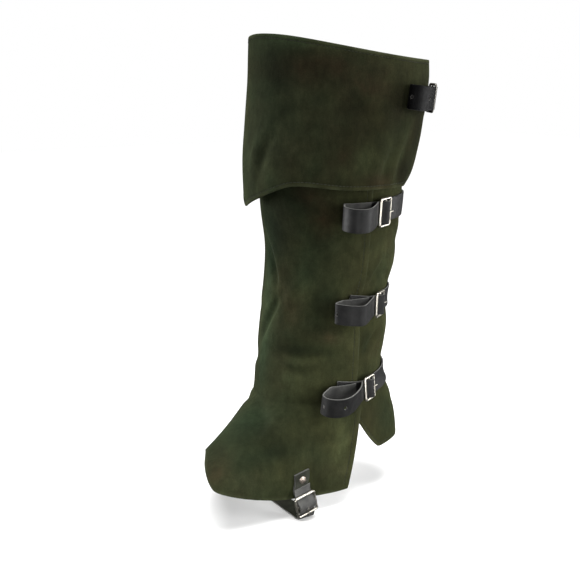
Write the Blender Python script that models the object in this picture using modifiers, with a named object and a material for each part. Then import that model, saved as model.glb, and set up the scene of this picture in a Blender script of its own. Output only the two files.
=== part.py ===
"""A suede boot cover for a left boot: a wrapped sleeve with a turned-down cuff, four side
closures of leather strap and centre-bar buckle, and a strap that passes under the sole.

The toe points along -Y, the outer side of the leg is +X and up is +Z. Angles round the leg
start at the front and grow towards the outer side: 0 front, 90 outer side, 180 back.
All sizes below are millimetres, and heights are above the tread of the sole.
"""

import math
from collections import namedtuple

import bmesh
import bpy
from mathutils import Matrix, Vector

MM = 0.001
COLLECTION = "boot_cover"

# Driving sizes.
SUEDE = 2.0              # wall of the sleeve and of the cuff
SEAM_GAP = 0.3           # air between pieces that touch
LAP = SUEDE + SEAM_GAP   # step between two lapped layers of suede
STRAP_THICK = 1.6
CHAPE_MARGIN = 1.0       # the chape is this much narrower at each edge of its strap
CHAPE_THICK = 1.2
CHAPE_LENGTH = 33.0      # from the buckle's bar to the front end of the chape
LEATHER_GAP = 0.4        # air under leather that lies on suede
WIRE_RADIUS = 1.2        # buckle frame
BAR_RADIUS = 1.0
TONGUE_RADIUS = 0.7
FRAME_REACH = 8.2        # from the bar to the middle of a side wire
FRAME_PLAY = 0.6         # between the strap's edge and the frame
FRAME_CORNER = 1.9
REAR_WIRE_LIFT = 2.9     # side wires and bar above the sleeve
FRONT_WIRE_LIFT = 6.4
BAR_LIFT = (REAR_WIRE_LIFT + FRONT_WIRE_LIFT) / 2
RIVET_RADIUS = 3.4
RIVET_HEIGHT = 1.2
HOLE_RADIUS = 2.9        # punched hole that the tongue passes through

HOLD_HEIGHT = 284.0      # the calf strap, where the leg holds the cover up

# The sleeve, section by section: how far its outer face lies in front of, behind and
# beside the axis.
Section = namedtuple("Section", "name height front back half_width")
SLEEVE = (
    Section("rim", 436.0, 99.0, 62.7, 72.6),
    Section("rim back", 408.0, 98.6, 65.8, 73.0),
    Section("inside cuff", 362.0, 96.0, 57.5, 66.5),
    Section("under cuff", 315.0, 95.0, 50.0, 60.6),
    Section("calf", 284.0, 93.2, 48.0, 58.2),
    Section("below calf", 252.0, 89.6, 44.2, 55.6),
    Section("bulge", 228.0, 90.4, 42.6, 54.4),
    Section("shin strap", 200.0, 93.0, 32.8, 53.7),
    Section("shin", 170.0, 96.8, 35.6, 53.6),
    Section("above ankle", 142.0, 99.4, 31.6, 53.4),
    Section("ankle", 122.0, 101.8, 30.0, 53.2),
    Section("below ankle", 98.0, 104.4, 43.6, 54.0),
)
CUFF = (
    Section("rim", 438.0, 101.4, 65.1, 75.0),
    Section("upper", 404.0, 102.9, 68.7, 76.0),
    Section("strap", 382.0, 104.4, 67.0, 75.4),
    Section("middle", 350.0, 107.2, 62.6, 73.4),
    Section("lower", 322.0, 109.4, 56.0, 70.8),
    Section("hem", 286.0, 110.0, 51.0, 68.0),
)
RIM_HEIGHT, RIM_TILT, RIM_SAG = 423.6, 10.6, 3.3   # higher in front, lowest at the sides
ANKLE_HEIGHT, ANKLE_TILT = 108.0, 0.0     # where the sleeve starts to spread over the foot

# The edge over the foot, from the crest of the instep round to the back of the heel.
# quickness is how soon the sleeve spreads to that place on its way down.
HemPoint = namedtuple("HemPoint", "name angle out along height quickness")
HEM = (
    HemPoint("back of heel", -180.0, 0.0, 55.5, 57.0, 2.1),
    HemPoint("inner heel", -142.0, -36.0, 32.0, 50.0, 1.9),
    HemPoint("behind inner ankle", -116.0, -49.0, -3.0, 40.0, 1.5),
    HemPoint("inner ankle", -91.0, -52.0, -34.0, 30.0, 1.4),
    HemPoint("inner waist", -70.0, -51.5, -68.0, 29.0, 1.4),
    HemPoint("inner ball", -54.0, -49.0, -100.0, 33.0, 1.3),
    HemPoint("inner corner", -42.0, -45.5, -126.0, 40.0, 1.1),
    HemPoint("inner arch", -26.0, -33.0, -143.0, 50.0, 1.0),
    HemPoint("crest", 0.0, 0.0, -162.5, 68.0, 1.0),
    HemPoint("outer arch", 14.0, 20.0, -173.5, 62.5, 1.0),
    HemPoint("toe corner", 27.0, 38.0, -178.0, 53.5, 1.0),
    HemPoint("outer corner", 37.0, 47.5, -173.0, 47.0, 1.1),
    HemPoint("outer ball", 50.0, 52.0, -142.0, 35.0, 1.3),
    HemPoint("outer waist", 66.0, 53.5, -103.0, 26.0, 1.4),
    HemPoint("lap corner", 91.0, 54.5, -38.0, 21.0, 1.4),
    HemPoint("behind ankle", 116.0, 51.0, -3.0, 36.0, 1.5),
    HemPoint("side of heel", 142.0, 37.0, 33.0, 50.0, 1.9),
    HemPoint("back of heel", 180.0, 0.0, 55.5, 57.0, 2.1),
)

# The largest folds: soft troughs in the sleeve, each a slanted oval. lean is how far the
# trough climbs for each degree round the leg.
Fold = namedtuple("Fold", "name angle height half_angle half_height lean depth")
FOLDS = (
    Fold("shin, upper arm", 4.0, 232.0, 16.0, 9.0, -1.6, 2.2),
    Fold("shin, lower arm", 2.0, 186.0, 17.0, 9.0, 1.5, 2.4),
    Fold("side hollow", 42.0, 163.0, 27.0, 8.0, 0.1, 2.8),
    Fold("instep, upper", 12.0, 103.0, 20.0, 6.0, -0.3, 2.4),
    Fold("instep, lower", 38.0, 82.0, 16.0, 7.0, -0.6, 2.6),
    Fold("inner ankle", -48.0, 140.0, 26.0, 8.0, 0.2, 2.4),
    Fold("inner shin", -70.0, 226.0, 24.0, 9.0, -0.4, 2.2),
)

# Where each panel starts and stops round the leg.
LAP_EDGE = 92.0          # free rear edge of the front panel, on the outer side
LAP_SHIFT, LAP_SHIFT_FROM = 5.5, 185.0    # it runs further back at the ankle
FRONT_SEAM = -165.0      # its other edge, lapped over the back panel
BACK_FRONT_EDGE = 70.0   # the back panel's edge under the lap
BACK_SEAM = 204.0
UNDERLAP_SINK = 0.7      # the back panel's hidden edge lies this much deeper
COLUMN = 7.5             # angle between two columns of facets
CUFF_FRONT_END = 141.0   # the cuff is open at the back of the outer side
CUFF_REAR_END = -205.0
CUFF_HEM = 305.0
CUFF_TIP_ANGLE, CUFF_TIP_DROP, CUFF_TIP_SPREAD = -14.0, 18.0, 50.0

SHAFT_HEIGHTS = (400.0, 372.0, 344.0, 320.0, 300.0, 268.0, 240.0, 212.0, 196.0, 180.0,
                 163.0, 148.0)
ANKLE_ROWS = (0.33, 0.66)    # further rows, from the last of these heights to the ankle
FOOT_LEVELS = (0.0, 0.16, 0.32, 0.5, 0.68, 0.84, 1.0)

# The four side closures. angle is where the buckle's bar stands, rise is how much higher
# the strap runs at the back, slack how far it stands off the sleeve there and tilt how far
# the chape's front end stands above the strap. The loop's points are forward of the bar
# and out from it, and lean is how far the loop's top stands out.
Closure = namedtuple("Closure",
                     "name height angle width rise strap_end slack tilt lean loop")
CLOSURES = (
    Closure("cuff", 382.5, 149.0, 21.0, 0.0, 202.0, 0.0, 0.0, 0.0,
            ((20.0, 4.6), (38.0, 2.0), (54.0, -4.5), (64.5, -14.0), (60.5, -21.5))),
    Closure("calf", 284.0, 101.0, 21.0, 2.0, 183.0, 0.0, 0.0, 0.0,
            ((22.0, 13.5), (36.0, 21.5), (47.0, 21.5), (52.0, 11.0), (46.5, 0.5))),
    Closure("shin", 197.5, 111.0, 18.5, 1.0, 183.0, 0.6, 4.0, 0.0,
            ((24.0, 10.5), (42.0, 16.5), (50.0, 10.5), (54.5, 1.0), (54.0, -6.0))),
    Closure("ankle", 118.0, 105.0, 17.5, 5.0, 183.0, 1.0, 4.0, 2.0,
            ((24.0, 13.5), (41.0, 21.5), (55.0, 23.0), (62.5, 12.0), (58.0, -1.0))),
)
FAR_WALL_LIFT = 5.9      # the loop's inner run, over the chape and its rivet
FAR_WALL_START = 40.0    # forward of the bar
TIP_REACH = 17.0

# The strap under the sole: its buckle leans out and back, clear of the sole's edge.
STIRRUP_WIDTH = 17.0
STIRRUP_ALONG = -92.0    # middle of the tab, forward of the axis
STIRRUP_BAR = (56.9, -91.5, 21.0)    # foot of the bar: out, along, height
STIRRUP_RUN = (-3.0, -4.2, 18.4)     # from the frame's lower wire to its upper one
STIRRUP_REACH = 9.5      # from the bar to the middle of a side wire
STIRRUP_TAB = 30.5       # from the bar to the tab's top
STIRRUP_TIP = 17.0       # from the bar to the free end, on the tab below the rivet
STIRRUP_RIVET = 43.5     # height
STIRRUP_FLOOR = 5.0      # underside of the strap, below the sole's waist
STIRRUP_BEND = 5.0       # middle line, where the strap turns under the sole

SUEDE_GREEN = (0.035, 0.045, 0.022)
LEATHER_BLACK = (0.012, 0.012, 0.013)
NICKEL = (0.62, 0.60, 0.55)


# Smooth tables -------------------------------------------------------------------------

def smooth(keys, values, key):
    """The value at key on a smooth curve through the table's rows; keys grow."""
    key = min(max(key, keys[0]), keys[-1])
    i = 0
    while i < len(keys) - 2 and key > keys[i + 1]:
        i += 1

    def slope(k):
        low, high = max(k - 1, 0), min(k + 1, len(keys) - 1)
        return (values[high] - values[low]) / (keys[high] - keys[low])

    span = keys[i + 1] - keys[i]
    t = (key - keys[i]) / span
    a, b = values[i], values[i + 1]
    return (a * (1 + 2 * t) * (1 - t) ** 2 + b * t * t * (3 - 2 * t)
            + slope(i) * span * t * (1 - t) ** 2 - slope(i + 1) * span * t * t * (1 - t))


def ring(sections, angle, height):
    """A point of the horizontal oval at this height."""
    rows = sections[::-1]
    keys = [row.height for row in rows]
    front, back, half = (smooth(keys, [getattr(row, name) for row in rows], height)
                         for name in ("front", "back", "half_width"))
    turn = math.radians(angle)
    return Vector((half * math.sin(turn),
                   (back - front) / 2 - (back + front) / 2 * math.cos(turn), height))


def rim_height(angle):
    turn = math.radians(angle)
    return RIM_HEIGHT + RIM_TILT * math.cos(turn) + RIM_SAG * math.cos(2 * turn)


def ankle_height(angle):
    return ANKLE_HEIGHT + ANKLE_TILT * math.cos(math.radians(angle))


def hem_point(angle):
    """A point of the foot's edge, and how soon the sleeve spreads to it."""
    angle = (angle + 180.0) % 360.0 - 180.0
    keys = [row.angle for row in HEM]
    out, along, height, quickness = (
        smooth(keys, [getattr(row, name) for row in HEM], angle)
        for name in ("out", "along", "height", "quickness"))
    return Vector((out, along, height)), quickness


# The sleeve's surface ------------------------------------------------------------------

def sleeve_base(angle, level):
    """Level 0 is the rim, 1 the ankle and 2 the edge over the foot."""
    if level <= 1.0:
        top, low = rim_height(angle), ankle_height(angle)
        return ring(SLEEVE, angle, top + (low - top) * level)
    start = ring(SLEEVE, angle, ankle_height(angle))
    end, quickness = hem_point(angle)
    share = min(level - 1.0, 1.0)
    late = share ** (1.0 / quickness)
    spread = 1.0 - (1.0 - share) ** quickness if quickness > 1.0 else late
    point = start.lerp(end, spread)
    point.z = start.z + (end.z - start.z) * share
    return point


def fold_depth(angle, height):
    total = 0.0
    for fold in FOLDS:
        around = (angle - fold.angle + 180.0) % 360.0 - 180.0
        across = (height - fold.height - fold.lean * around) / fold.half_height
        around /= fold.half_angle
        total += fold.depth * math.exp(-around * around - across * across)
    return total


def normal_of(surface, angle, level):
    step_angle, step_level = 1.0, 0.01
    low = min(level, 2.0 - step_level)
    around = surface(angle + step_angle, low) - surface(angle - step_angle, low)
    down = surface(angle, low + step_level) - surface(angle, max(low - step_level, 0.0))
    return down.cross(around).normalized()


def sleeve(angle, level, lift=0.0):
    """A point lift millimetres outside the sleeve's outer face, folds included."""
    base = sleeve_base(angle, level)
    out = normal_of(sleeve_base, angle, level)
    return base + out * (lift - fold_depth(angle, base.z))


def cuff_base(angle, level):
    """Level 0 is the rim and 1 the hem of the cuff."""
    turn = abs(angle - CUFF_TIP_ANGLE)
    near_tip = max(0.0, 1.0 - turn / CUFF_TIP_SPREAD)
    low = CUFF_HEM + 5.0 * math.exp(-((turn - 55.0) / 25.0) ** 2)
    low -= CUFF_TIP_DROP * near_tip ** 1.3
    top = rim_height(angle)
    return ring(CUFF, angle, top + (low - top) * level)


def cuff(angle, level, lift=0.0):
    return cuff_base(angle, level) + normal_of(cuff_base, angle, level) * lift


def level_at(surface, angle, height):
    """The level at which the surface has this height."""
    low, high = 0.0, 2.0 if surface is sleeve else 1.0
    for _ in range(24):
        middle = (low + high) / 2
        if surface(angle, middle).z > height:
            low = middle
        else:
            high = middle
    return (low + high) / 2


def sleeve_levels(angle):
    """The levels of the rows of facets in one column."""
    top, low = rim_height(angle), ankle_height(angle)
    heights = [*SHAFT_HEIGHTS]
    heights += [heights[-1] + (low - heights[-1]) * share for share in ANKLE_ROWS]
    shaft = [(top - height) / (top - low) for height in heights]
    return [0.0] + shaft + [1.0 + share for share in FOOT_LEVELS]


# Blender helpers -----------------------------------------------------------------------

def clear_scene():
    for item in list(bpy.data.objects):
        bpy.data.objects.remove(item)


def finish(name, rgb, roughness, metallic=0.0):
    material = bpy.data.materials.new(name)
    material.use_nodes = True
    shader = material.node_tree.nodes["Principled BSDF"]
    shader.inputs["Base Color"].default_value = (*rgb, 1.0)
    shader.inputs["Roughness"].default_value = roughness
    shader.inputs["Metallic"].default_value = metallic
    return material


def suede(name):
    return finish(name + "_suede", SUEDE_GREEN, 0.95)


def leather(name):
    return finish(name + "_leather", LEATHER_BLACK, 0.45)


def metal(name):
    return finish(name + "_metal", NICKEL, 0.25, 1.0)


class Build:
    """The model's collections and the empty that carries its pieces."""

    def __init__(self):
        self.parts = bpy.data.collections.new(COLLECTION)
        self.cutters = bpy.data.collections.new("cutters")
        for group in (self.parts, self.cutters):
            bpy.context.scene.collection.children.link(group)
        self.root = bpy.data.objects.new("tread_line", None)
        self.root.location.z = -HOLD_HEIGHT * MM
        self.parts.objects.link(self.root)

    def add(self, name, data, material):
        item = bpy.data.objects.new(name, data)
        data.materials.append(material)
        item.parent = self.root
        self.parts.objects.link(item)
        return item

    def cutter(self, name, mesh):
        item = bpy.data.objects.new(name, mesh)
        item.parent = self.root
        item.hide_render = True
        item.display_type = "WIRE"
        self.cutters.objects.link(item)
        return item


def mesh_from(name, points, faces, is_smooth=True):
    mesh = bpy.data.meshes.new(name)
    mesh.from_pydata([point * MM for point in points], [], faces)
    mesh.validate()
    if is_smooth:
        mesh.shade_smooth()
        mesh.set_sharp_from_angle(angle=math.radians(40))
    return mesh


def grid_mesh(name, columns):
    """A sheet of quads over columns of points; its faces look outwards."""
    rows = len(columns[0])
    points = [point for column in columns for point in column]
    faces = []
    for i in range(len(columns) - 1):
        for j in range(rows - 1):
            corner = i * rows + j
            faces.append((corner, corner + 1, corner + rows + 1, corner + rows))
    return mesh_from(name, points, faces)


def thicken(item, thickness, offset):
    shell = item.modifiers.new("wall", "SOLIDIFY")
    shell.thickness = thickness * MM
    shell.offset = offset
    shell.use_even_offset = True
    shell.use_quality_normals = True


def cut(item, cutter, operation="DIFFERENCE"):
    boolean = item.modifiers.new(cutter.name, "BOOLEAN")
    boolean.operation = operation
    boolean.object = cutter
    boolean.solver = "EXACT"


def spread(start, end, step):
    """Evenly spaced values from start to end, no further apart than step."""
    count = max(1, math.ceil(abs(end - start) / step - 1e-6))
    return [start + (end - start) * i / count for i in range(count + 1)]


def on_columns(start, end):
    """The angles from start to end that lie on the sleeve's columns, ends included."""
    first, last = sorted((start, end))
    inner = [k * COLUMN for k in range(math.floor(first / COLUMN) + 1,
                                       math.ceil(last / COLUMN))]
    inner = [angle for angle in inner if first + 1.5 < angle < last - 1.5]
    angles = [first] + inner + [last]
    return angles if start < end else angles[::-1]


# The suede panels ----------------------------------------------------------------------

def lap_shift(level):
    """How far back the front panel's free edge runs at this level."""
    if level > 1.0:
        return LAP_SHIFT - (LAP_SHIFT + 1.5) * (level - 1.0) ** 1.5
    height = sleeve_base(LAP_EDGE, level).z
    share = (LAP_SHIFT_FROM - height) / (LAP_SHIFT_FROM - ANKLE_HEIGHT)
    return LAP_SHIFT * max(share, 0.0) ** 1.3


def front_panel(build):
    columns = []
    for angle in on_columns(FRONT_SEAM, LAP_EDGE):
        pull = max(0.0, (angle - 60.0) / (LAP_EDGE - 60.0))
        columns.append([sleeve(angle + pull * lap_shift(level), level)
                        for level in sleeve_levels(angle)])
    item = build.add("front_panel", grid_mesh("front_panel", columns), suede("front_panel"))
    thicken(item, SUEDE, -1.0)


def flap_end(angle):
    """The foot level at which the back panel stops: a slanted front corner, then level."""
    if angle < 120.0:
        return max(0.12, 0.81 - 0.0235 * (120.0 - angle))
    return min(0.81 + 0.006 * (angle - 120.0), 1.0)


def back_panel(build):
    columns = []
    for angle in on_columns(BACK_FRONT_EDGE, BACK_SEAM):
        end = flap_end(angle)
        levels = [level for level in sleeve_levels(angle) if level < 1.0]
        levels += [1.0 + end * k / 5 for k in range(6)]
        tuck = UNDERLAP_SINK if angle < LAP_EDGE else 0.0
        columns.append([sleeve(angle, level, -LAP - tuck) for level in levels])
    item = build.add("back_panel", grid_mesh("back_panel", columns), suede("back_panel"))
    thicken(item, SUEDE, -1.0)


def cuff_shift(angle, level):
    """How far the cuff's two back edges run away from each other at its hem."""
    run = max(0.0, (level - 0.78) / 0.22) ** 1.4
    front = max(0.0, (angle - 90.0) / (CUFF_FRONT_END - 90.0))
    rear = max(0.0, (-165.0 - angle) / (-165.0 - CUFF_REAR_END))
    return run * (14.0 * rear - 20.0 * front)


def cuff_panel(build):
    levels = (0.0, 0.12, 0.28, 0.44, 0.6, 0.78, 0.89, 1.0)
    columns = [[cuff(angle + cuff_shift(angle, level), level) for level in levels]
               for angle in on_columns(CUFF_REAR_END, CUFF_FRONT_END)]
    item = build.add("cuff", grid_mesh("cuff", columns), suede("cuff"))
    thicken(item, SUEDE, -1.0)


# A closure's own frame -----------------------------------------------------------------

class Seat:
    """The place of a buckle on the sleeve or the cuff: forward, out and up directions."""

    def __init__(self, closure):
        self.closure = closure
        self.name = closure.name
        self.width, self.tilt = closure.width, closure.tilt
        self.reach, self.chape_length = FRAME_REACH, CHAPE_LENGTH
        self.surface = cuff if closure.name == "cuff" else sleeve
        self.under = 0.0 if closure.name == "cuff" else -LAP
        height, angle = closure.height, closure.angle
        level = level_at(self.surface, angle, height)
        self.origin = self.surface(angle, level)
        above = self.on(angle, self.width / 2)
        below = self.on(angle, -self.width / 2)
        self.forward = (self.on(angle - 3.0, 0.0) - self.on(angle + 3.0, 0.0)).normalized()
        rising = above - below
        self.up = (rising - self.forward * rising.dot(self.forward)).normalized()
        self.out = self.up.cross(self.forward).normalized()

    def on(self, angle, across, lift=0.0):
        """A point over the surface, across millimetres above the strap's middle."""
        behind = min(max((angle - self.closure.angle) / 60.0, 0.0), 1.0)
        height = self.closure.height + self.closure.rise * behind + across
        return self.surface(angle, level_at(self.surface, angle, height), lift)

    def over(self, forward, across, lift):
        """A point over the surface, this far forward of the bar."""
        return self.on(self.angle_at(forward), across, lift)

    def at(self, forward, out, across=0.0):
        return self.origin + self.forward * forward + self.out * out + self.up * across

    def angle_at(self, forward):
        """The angle round the leg that lies this far forward of the bar."""
        low, high = self.closure.angle - 90.0, self.closure.angle + 90.0
        for _ in range(20):
            middle = (low + high) / 2
            if (self.on(middle, 0.0) - self.origin).dot(self.forward) > forward:
                low = middle
            else:
                high = middle
        return (low + high) / 2


def arc(centre, radius, start, end, step=22.0):
    """Points of an arc in the closure's plane; angles in degrees from forward to out."""
    return [(centre[0] + radius * math.cos(math.radians(turn)),
             centre[1] + radius * math.sin(math.radians(turn)))
            for turn in spread(start, end, step)]


def crossing_turn(low, high, radii):
    """How steeply a strap climbs from under one wire to over the next."""
    reach = math.hypot(high[0] - low[0], high[1] - low[1])
    line = math.degrees(math.atan2(high[1] - low[1], high[0] - low[0]))
    return line, math.degrees(math.asin(radii / reach))


def woven_run(reach):
    """The strap's middle line under the rear wire, over the bar and under the front wire,
    and the direction, in degrees, in which it falls from the bar."""
    rear, bar, front = (-reach, REAR_WIRE_LIFT), (0.0, BAR_LIFT), (reach, FRONT_WIRE_LIFT)
    side = WIRE_RADIUS + SEAM_GAP + STRAP_THICK / 2
    middle = BAR_RADIUS + CHAPE_THICK + 2.5 * SEAM_GAP + STRAP_THICK / 2
    line, turn = crossing_turn(rear, bar, side + middle)
    climb = line + turn
    line, turn = crossing_turn(bar, front, side + middle)
    fall = line - turn
    run = arc(rear, side, -105.0, climb - 90.0)
    run += arc(bar, middle, climb + 90.0, fall + 90.0)
    run += arc(front, side, fall - 90.0, -52.0)
    return run, fall


def smooth_path(points, per_span):
    """Points of a smooth curve through these vectors."""
    path = []
    for i in range(len(points) - 1):
        before = points[max(i - 1, 0)]
        after = points[min(i + 2, len(points) - 1)]
        a, b = points[i], points[i + 1]
        for k in range(per_span):
            t = k / per_span
            path.append(0.5 * (2 * a + (b - before) * t
                               + (2 * before - 5 * a + 4 * b - after) * t * t
                               + (3 * a - before - 3 * b + after) * t ** 3))
    return path + [points[-1]]


def strap_edges(seat, across):
    """The strap's line at one distance above its middle, from its rear end to its tip."""
    closure = seat.closure
    lying = seat.under + LEATHER_GAP + closure.slack + STRAP_THICK / 2
    buckle_angle = seat.angle_at(-FRAME_REACH - 6.0)
    line = [seat.on(angle, across, lying)
            for angle in on_columns(closure.strap_end, buckle_angle)]
    woven = [seat.at(forward, out, across) for forward, out in woven_run(seat.reach)[0]]
    far = [seat.over(forward, across, FAR_WALL_LIFT)
           for forward in spread(FAR_WALL_START, TIP_REACH, 8.0)]
    loop = [seat.at(forward, out + closure.lean * across / (seat.width / 2), across)
            for forward, out in closure.loop]
    free = smooth_path([woven[-1]] + loop + [far[0]], 4)
    return line + woven + free[1:-1] + far


def strip_mesh(name, edges):
    """A ribbon between lines of equal length, the first of them lowest."""
    return grid_mesh(name, [list(points) for points in zip(*edges)])


def strap(build, seat):
    name = seat.name + "_strap"
    half = seat.width / 2
    edges = [strap_edges(seat, across) for across in (-half, 0.0, half)]
    item = build.add(name, strip_mesh(name, edges), leather(name))
    thicken(item, STRAP_THICK, 0.0)
    cut(item, tongue_hole(build, seat))


def tongue_hole(build, seat):
    """A punch through the strap where the tongue comes out, just behind the bar."""
    punch = bmesh.new()
    bmesh.ops.create_cone(punch, cap_ends=True, segments=12, radius1=HOLE_RADIUS * MM,
                          radius2=HOLE_RADIUS * MM, depth=9.0 * MM)
    mesh = bpy.data.meshes.new(seat.name + "_punch")
    punch.to_mesh(mesh)
    punch.free()
    item = build.cutter(mesh.name, mesh)
    lean = math.radians(-50.0)
    axis = (seat.out * math.cos(lean) + seat.forward * math.sin(lean)).normalized()
    place = Matrix((seat.up.cross(axis), seat.up, axis)).transposed().to_4x4()
    place.translation = seat.at(-3.4, BAR_LIFT + 1.5) * MM
    item.matrix_local = place
    return item


def chape(build, seat):
    """The short strap doubled round the bar, both of its layers on the sleeve."""
    name = seat.name + "_chape"
    lower = LEATHER_GAP + CHAPE_THICK / 2
    upper = lower + CHAPE_THICK + SEAM_GAP
    wrap = BAR_RADIUS + SEAM_GAP + CHAPE_THICK / 2
    fall = woven_run(seat.reach)[1]
    under_wire = WIRE_RADIUS + STRAP_THICK + CHAPE_THICK / 2 + 2.5 * SEAM_GAP
    turn = arc((0.0, BAR_LIFT), wrap, 285.0, fall + 90.0)
    turn += arc((seat.reach, FRONT_WIRE_LIFT), under_wire, fall - 90.0, fall - 80.0)
    columns = []
    half = seat.width / 2 - CHAPE_MARGIN
    start, end = seat.reach + 2.5, seat.chape_length
    for across in (-half, 0.0, half):
        places = [(reach, across + seat.tilt * (reach - start) / (end - start))
                  for reach in spread(end, start, 6.5)]
        under = [seat.over(*place, lower) for place in places]
        over = [seat.over(*place, upper) for place in places[::-1]]
        columns.append(under + [seat.at(*point, across) for point in turn] + over)
    item = build.add(name, strip_mesh(name, columns), leather(name))
    thicken(item, CHAPE_THICK, 0.0)
    cut(item, chape_slot(build, seat))


def chape_slot(build, seat):
    """The slot at the chape's fold that lets the tongue reach the bar."""
    block = bmesh.new()
    bmesh.ops.create_cube(block, size=1.0)
    size = Vector((2 * TONGUE_RADIUS + 1.2, 9.0, 7.6)) * MM
    bmesh.ops.scale(block, vec=size, verts=block.verts)
    mesh = bpy.data.meshes.new(seat.name + "_slot")
    block.to_mesh(mesh)
    block.free()
    item = build.cutter(mesh.name, mesh)
    place = Matrix((seat.up, seat.forward, seat.out)).transposed().to_4x4()
    place.translation = seat.at(0.2, BAR_LIFT) * MM
    item.matrix_local = place
    return item


# Metal ---------------------------------------------------------------------------------

def wire(build, name, points, radius, is_ring=False, sides=2):
    """A round wire along these points, with flat ends unless it closes on itself."""
    curve = bpy.data.curves.new(name, "CURVE")
    curve.dimensions = "3D"
    curve.bevel_depth = radius * MM
    curve.bevel_resolution = sides
    curve.use_fill_caps = not is_ring
    curve.resolution_u = 1
    spline = curve.splines.new("POLY")
    spline.points.add(len(points) - 1)
    for knot, point in zip(spline.points, points):
        knot.co = (*(point * MM), 1.0)
    spline.use_cyclic_u = is_ring
    return build.add(name, curve, metal(name))


def as_mesh(build, item):
    """The same piece as a closed mesh, in place of the curve."""
    graph = bpy.context.evaluated_depsgraph_get()
    mesh = bpy.data.meshes.new_from_object(item.evaluated_get(graph))
    work = bmesh.new()
    work.from_mesh(mesh)
    bmesh.ops.remove_doubles(work, verts=work.verts, dist=0.00001)
    work.to_mesh(mesh)
    work.free()
    name = item.name
    bpy.data.objects.remove(item)
    mesh.materials.clear()
    solid = build.add(name, mesh, metal(name))
    mesh.shade_smooth()
    return solid


def frame_outline(place, reach, half_height):
    """A rounded rectangle, through place(along, across)."""
    outline = []
    for sign_a, sign_b, start in ((1, 1, 0), (-1, 1, 90), (-1, -1, 180), (1, -1, 270)):
        centre = (sign_a * (reach - FRAME_CORNER), sign_b * (half_height - FRAME_CORNER))
        for turn in (0, 30, 60, 90):
            angle = math.radians(start + turn)
            outline.append(place(centre[0] + FRAME_CORNER * math.cos(angle),
                                 centre[1] + FRAME_CORNER * math.sin(angle)))
    return outline


def buckle(build, seat):
    """A rectangular wire frame with a bar across its middle, tilted to clear the chape."""
    tilt = math.atan2(FRONT_WIRE_LIFT - REAR_WIRE_LIFT, 2 * seat.reach)

    def place(along, across):
        return seat.at(along * math.cos(tilt), BAR_LIFT + along * math.sin(tilt), across)

    name = seat.name + "_buckle"
    half_height = seat.width / 2 + FRAME_PLAY + WIRE_RADIUS
    outline = frame_outline(place, seat.reach, half_height)
    frame = as_mesh(build, wire(build, name, outline, WIRE_RADIUS, is_ring=True))
    ends = [place(0.0, side * half_height) for side in (-1, 1)]
    bar = bmesh.new()
    bmesh.ops.create_cone(bar, cap_ends=True, segments=10, radius1=BAR_RADIUS * MM,
                          radius2=BAR_RADIUS * MM, depth=(ends[1] - ends[0]).length * MM)
    mesh = bpy.data.meshes.new(name + "_bar")
    bar.to_mesh(mesh)
    bar.free()
    item = build.cutter(mesh.name, mesh)
    turn = Vector((0, 0, 1)).rotation_difference((ends[1] - ends[0]).normalized())
    item.matrix_local = Matrix.LocRotScale((ends[0] + ends[1]) / 2 * MM, turn, None)
    cut(frame, item, "UNION")


def tongue(build, seat):
    """A pin hooked round the bar and resting on the rear wire."""
    hook = BAR_RADIUS + SEAM_GAP + TONGUE_RADIUS
    rest = REAR_WIRE_LIFT + WIRE_RADIUS + SEAM_GAP + TONGUE_RADIUS
    path = arc((0.0, BAR_LIFT), hook, -170.0, 100.0, 30.0)
    path += [(-2.4, BAR_LIFT + hook - 0.1), (1.5 - seat.reach, rest + 0.5),
             (-1.7 - seat.reach, rest)]
    points = [seat.at(forward, out) for forward, out in path]
    as_mesh(build, wire(build, seat.name + "_tongue", points, TONGUE_RADIUS, sides=1))


def rivet(build, name, foot, out):
    """A low domed head, flat side down at foot."""
    profile = [(0.0, RIVET_HEIGHT), (RIVET_RADIUS * 0.45, 1.12), (RIVET_RADIUS * 0.8, 0.85),
               (RIVET_RADIUS, 0.35), (RIVET_RADIUS, 0.0), (0.0, 0.0)]
    knots = [(r * MM, 0.0, h * MM) for r, h in profile]
    mesh = bpy.data.meshes.new(name)
    mesh.from_pydata(knots, [(i, i + 1) for i in range(len(knots) - 1)], [])
    item = build.add(name, mesh, metal(name))
    turned = item.modifiers.new("turned", "SCREW")
    turned.steps = turned.render_steps = 12
    turned.use_merge_vertices = True
    turned.merge_threshold = 0.00001
    turned.use_smooth_shade = True
    turn = Vector((0, 0, 1)).rotation_difference(out)
    item.matrix_local = Matrix.LocRotScale(foot * MM, turn, None)


def rivet_on(build, name, point, lift):
    """A rivet whose head lies on leather whose outer face is lift above point(0)."""
    foot = point(lift + SEAM_GAP)
    rivet(build, name, foot, foot - point(0.0))


def closure_metal(build, seat):
    buckle(build, seat)
    tongue(build, seat)
    layers = LEATHER_GAP + 2 * CHAPE_THICK + SEAM_GAP
    rivet_on(build, seat.name + "_chape_rivet",
             lambda lift: seat.over(CHAPE_LENGTH - 7.0, 0.7 * seat.tilt, lift), layers)
    end, slack = seat.closure.strap_end - 7.5, seat.closure.slack
    rivet_on(build, seat.name + "_strap_rivet",
             lambda lift: seat.on(end, 0.0, seat.under + lift),
             LEATHER_GAP + 1.4 * slack + STRAP_THICK)


# The stirrup ---------------------------------------------------------------------------

def beside_sole(side, along, height, lift=0.0):
    """A point over the sleeve's outer (1) or inner (-1) face, at this place and height."""
    low, high = 20.0, 88.0
    for _ in range(20):
        angle = (low + high) / 2 * side
        if sleeve(angle, level_at(sleeve, angle, height)).y < along:
            low = abs(angle)
        else:
            high = abs(angle)
    return sleeve(angle, level_at(sleeve, angle, height), lift)


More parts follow.
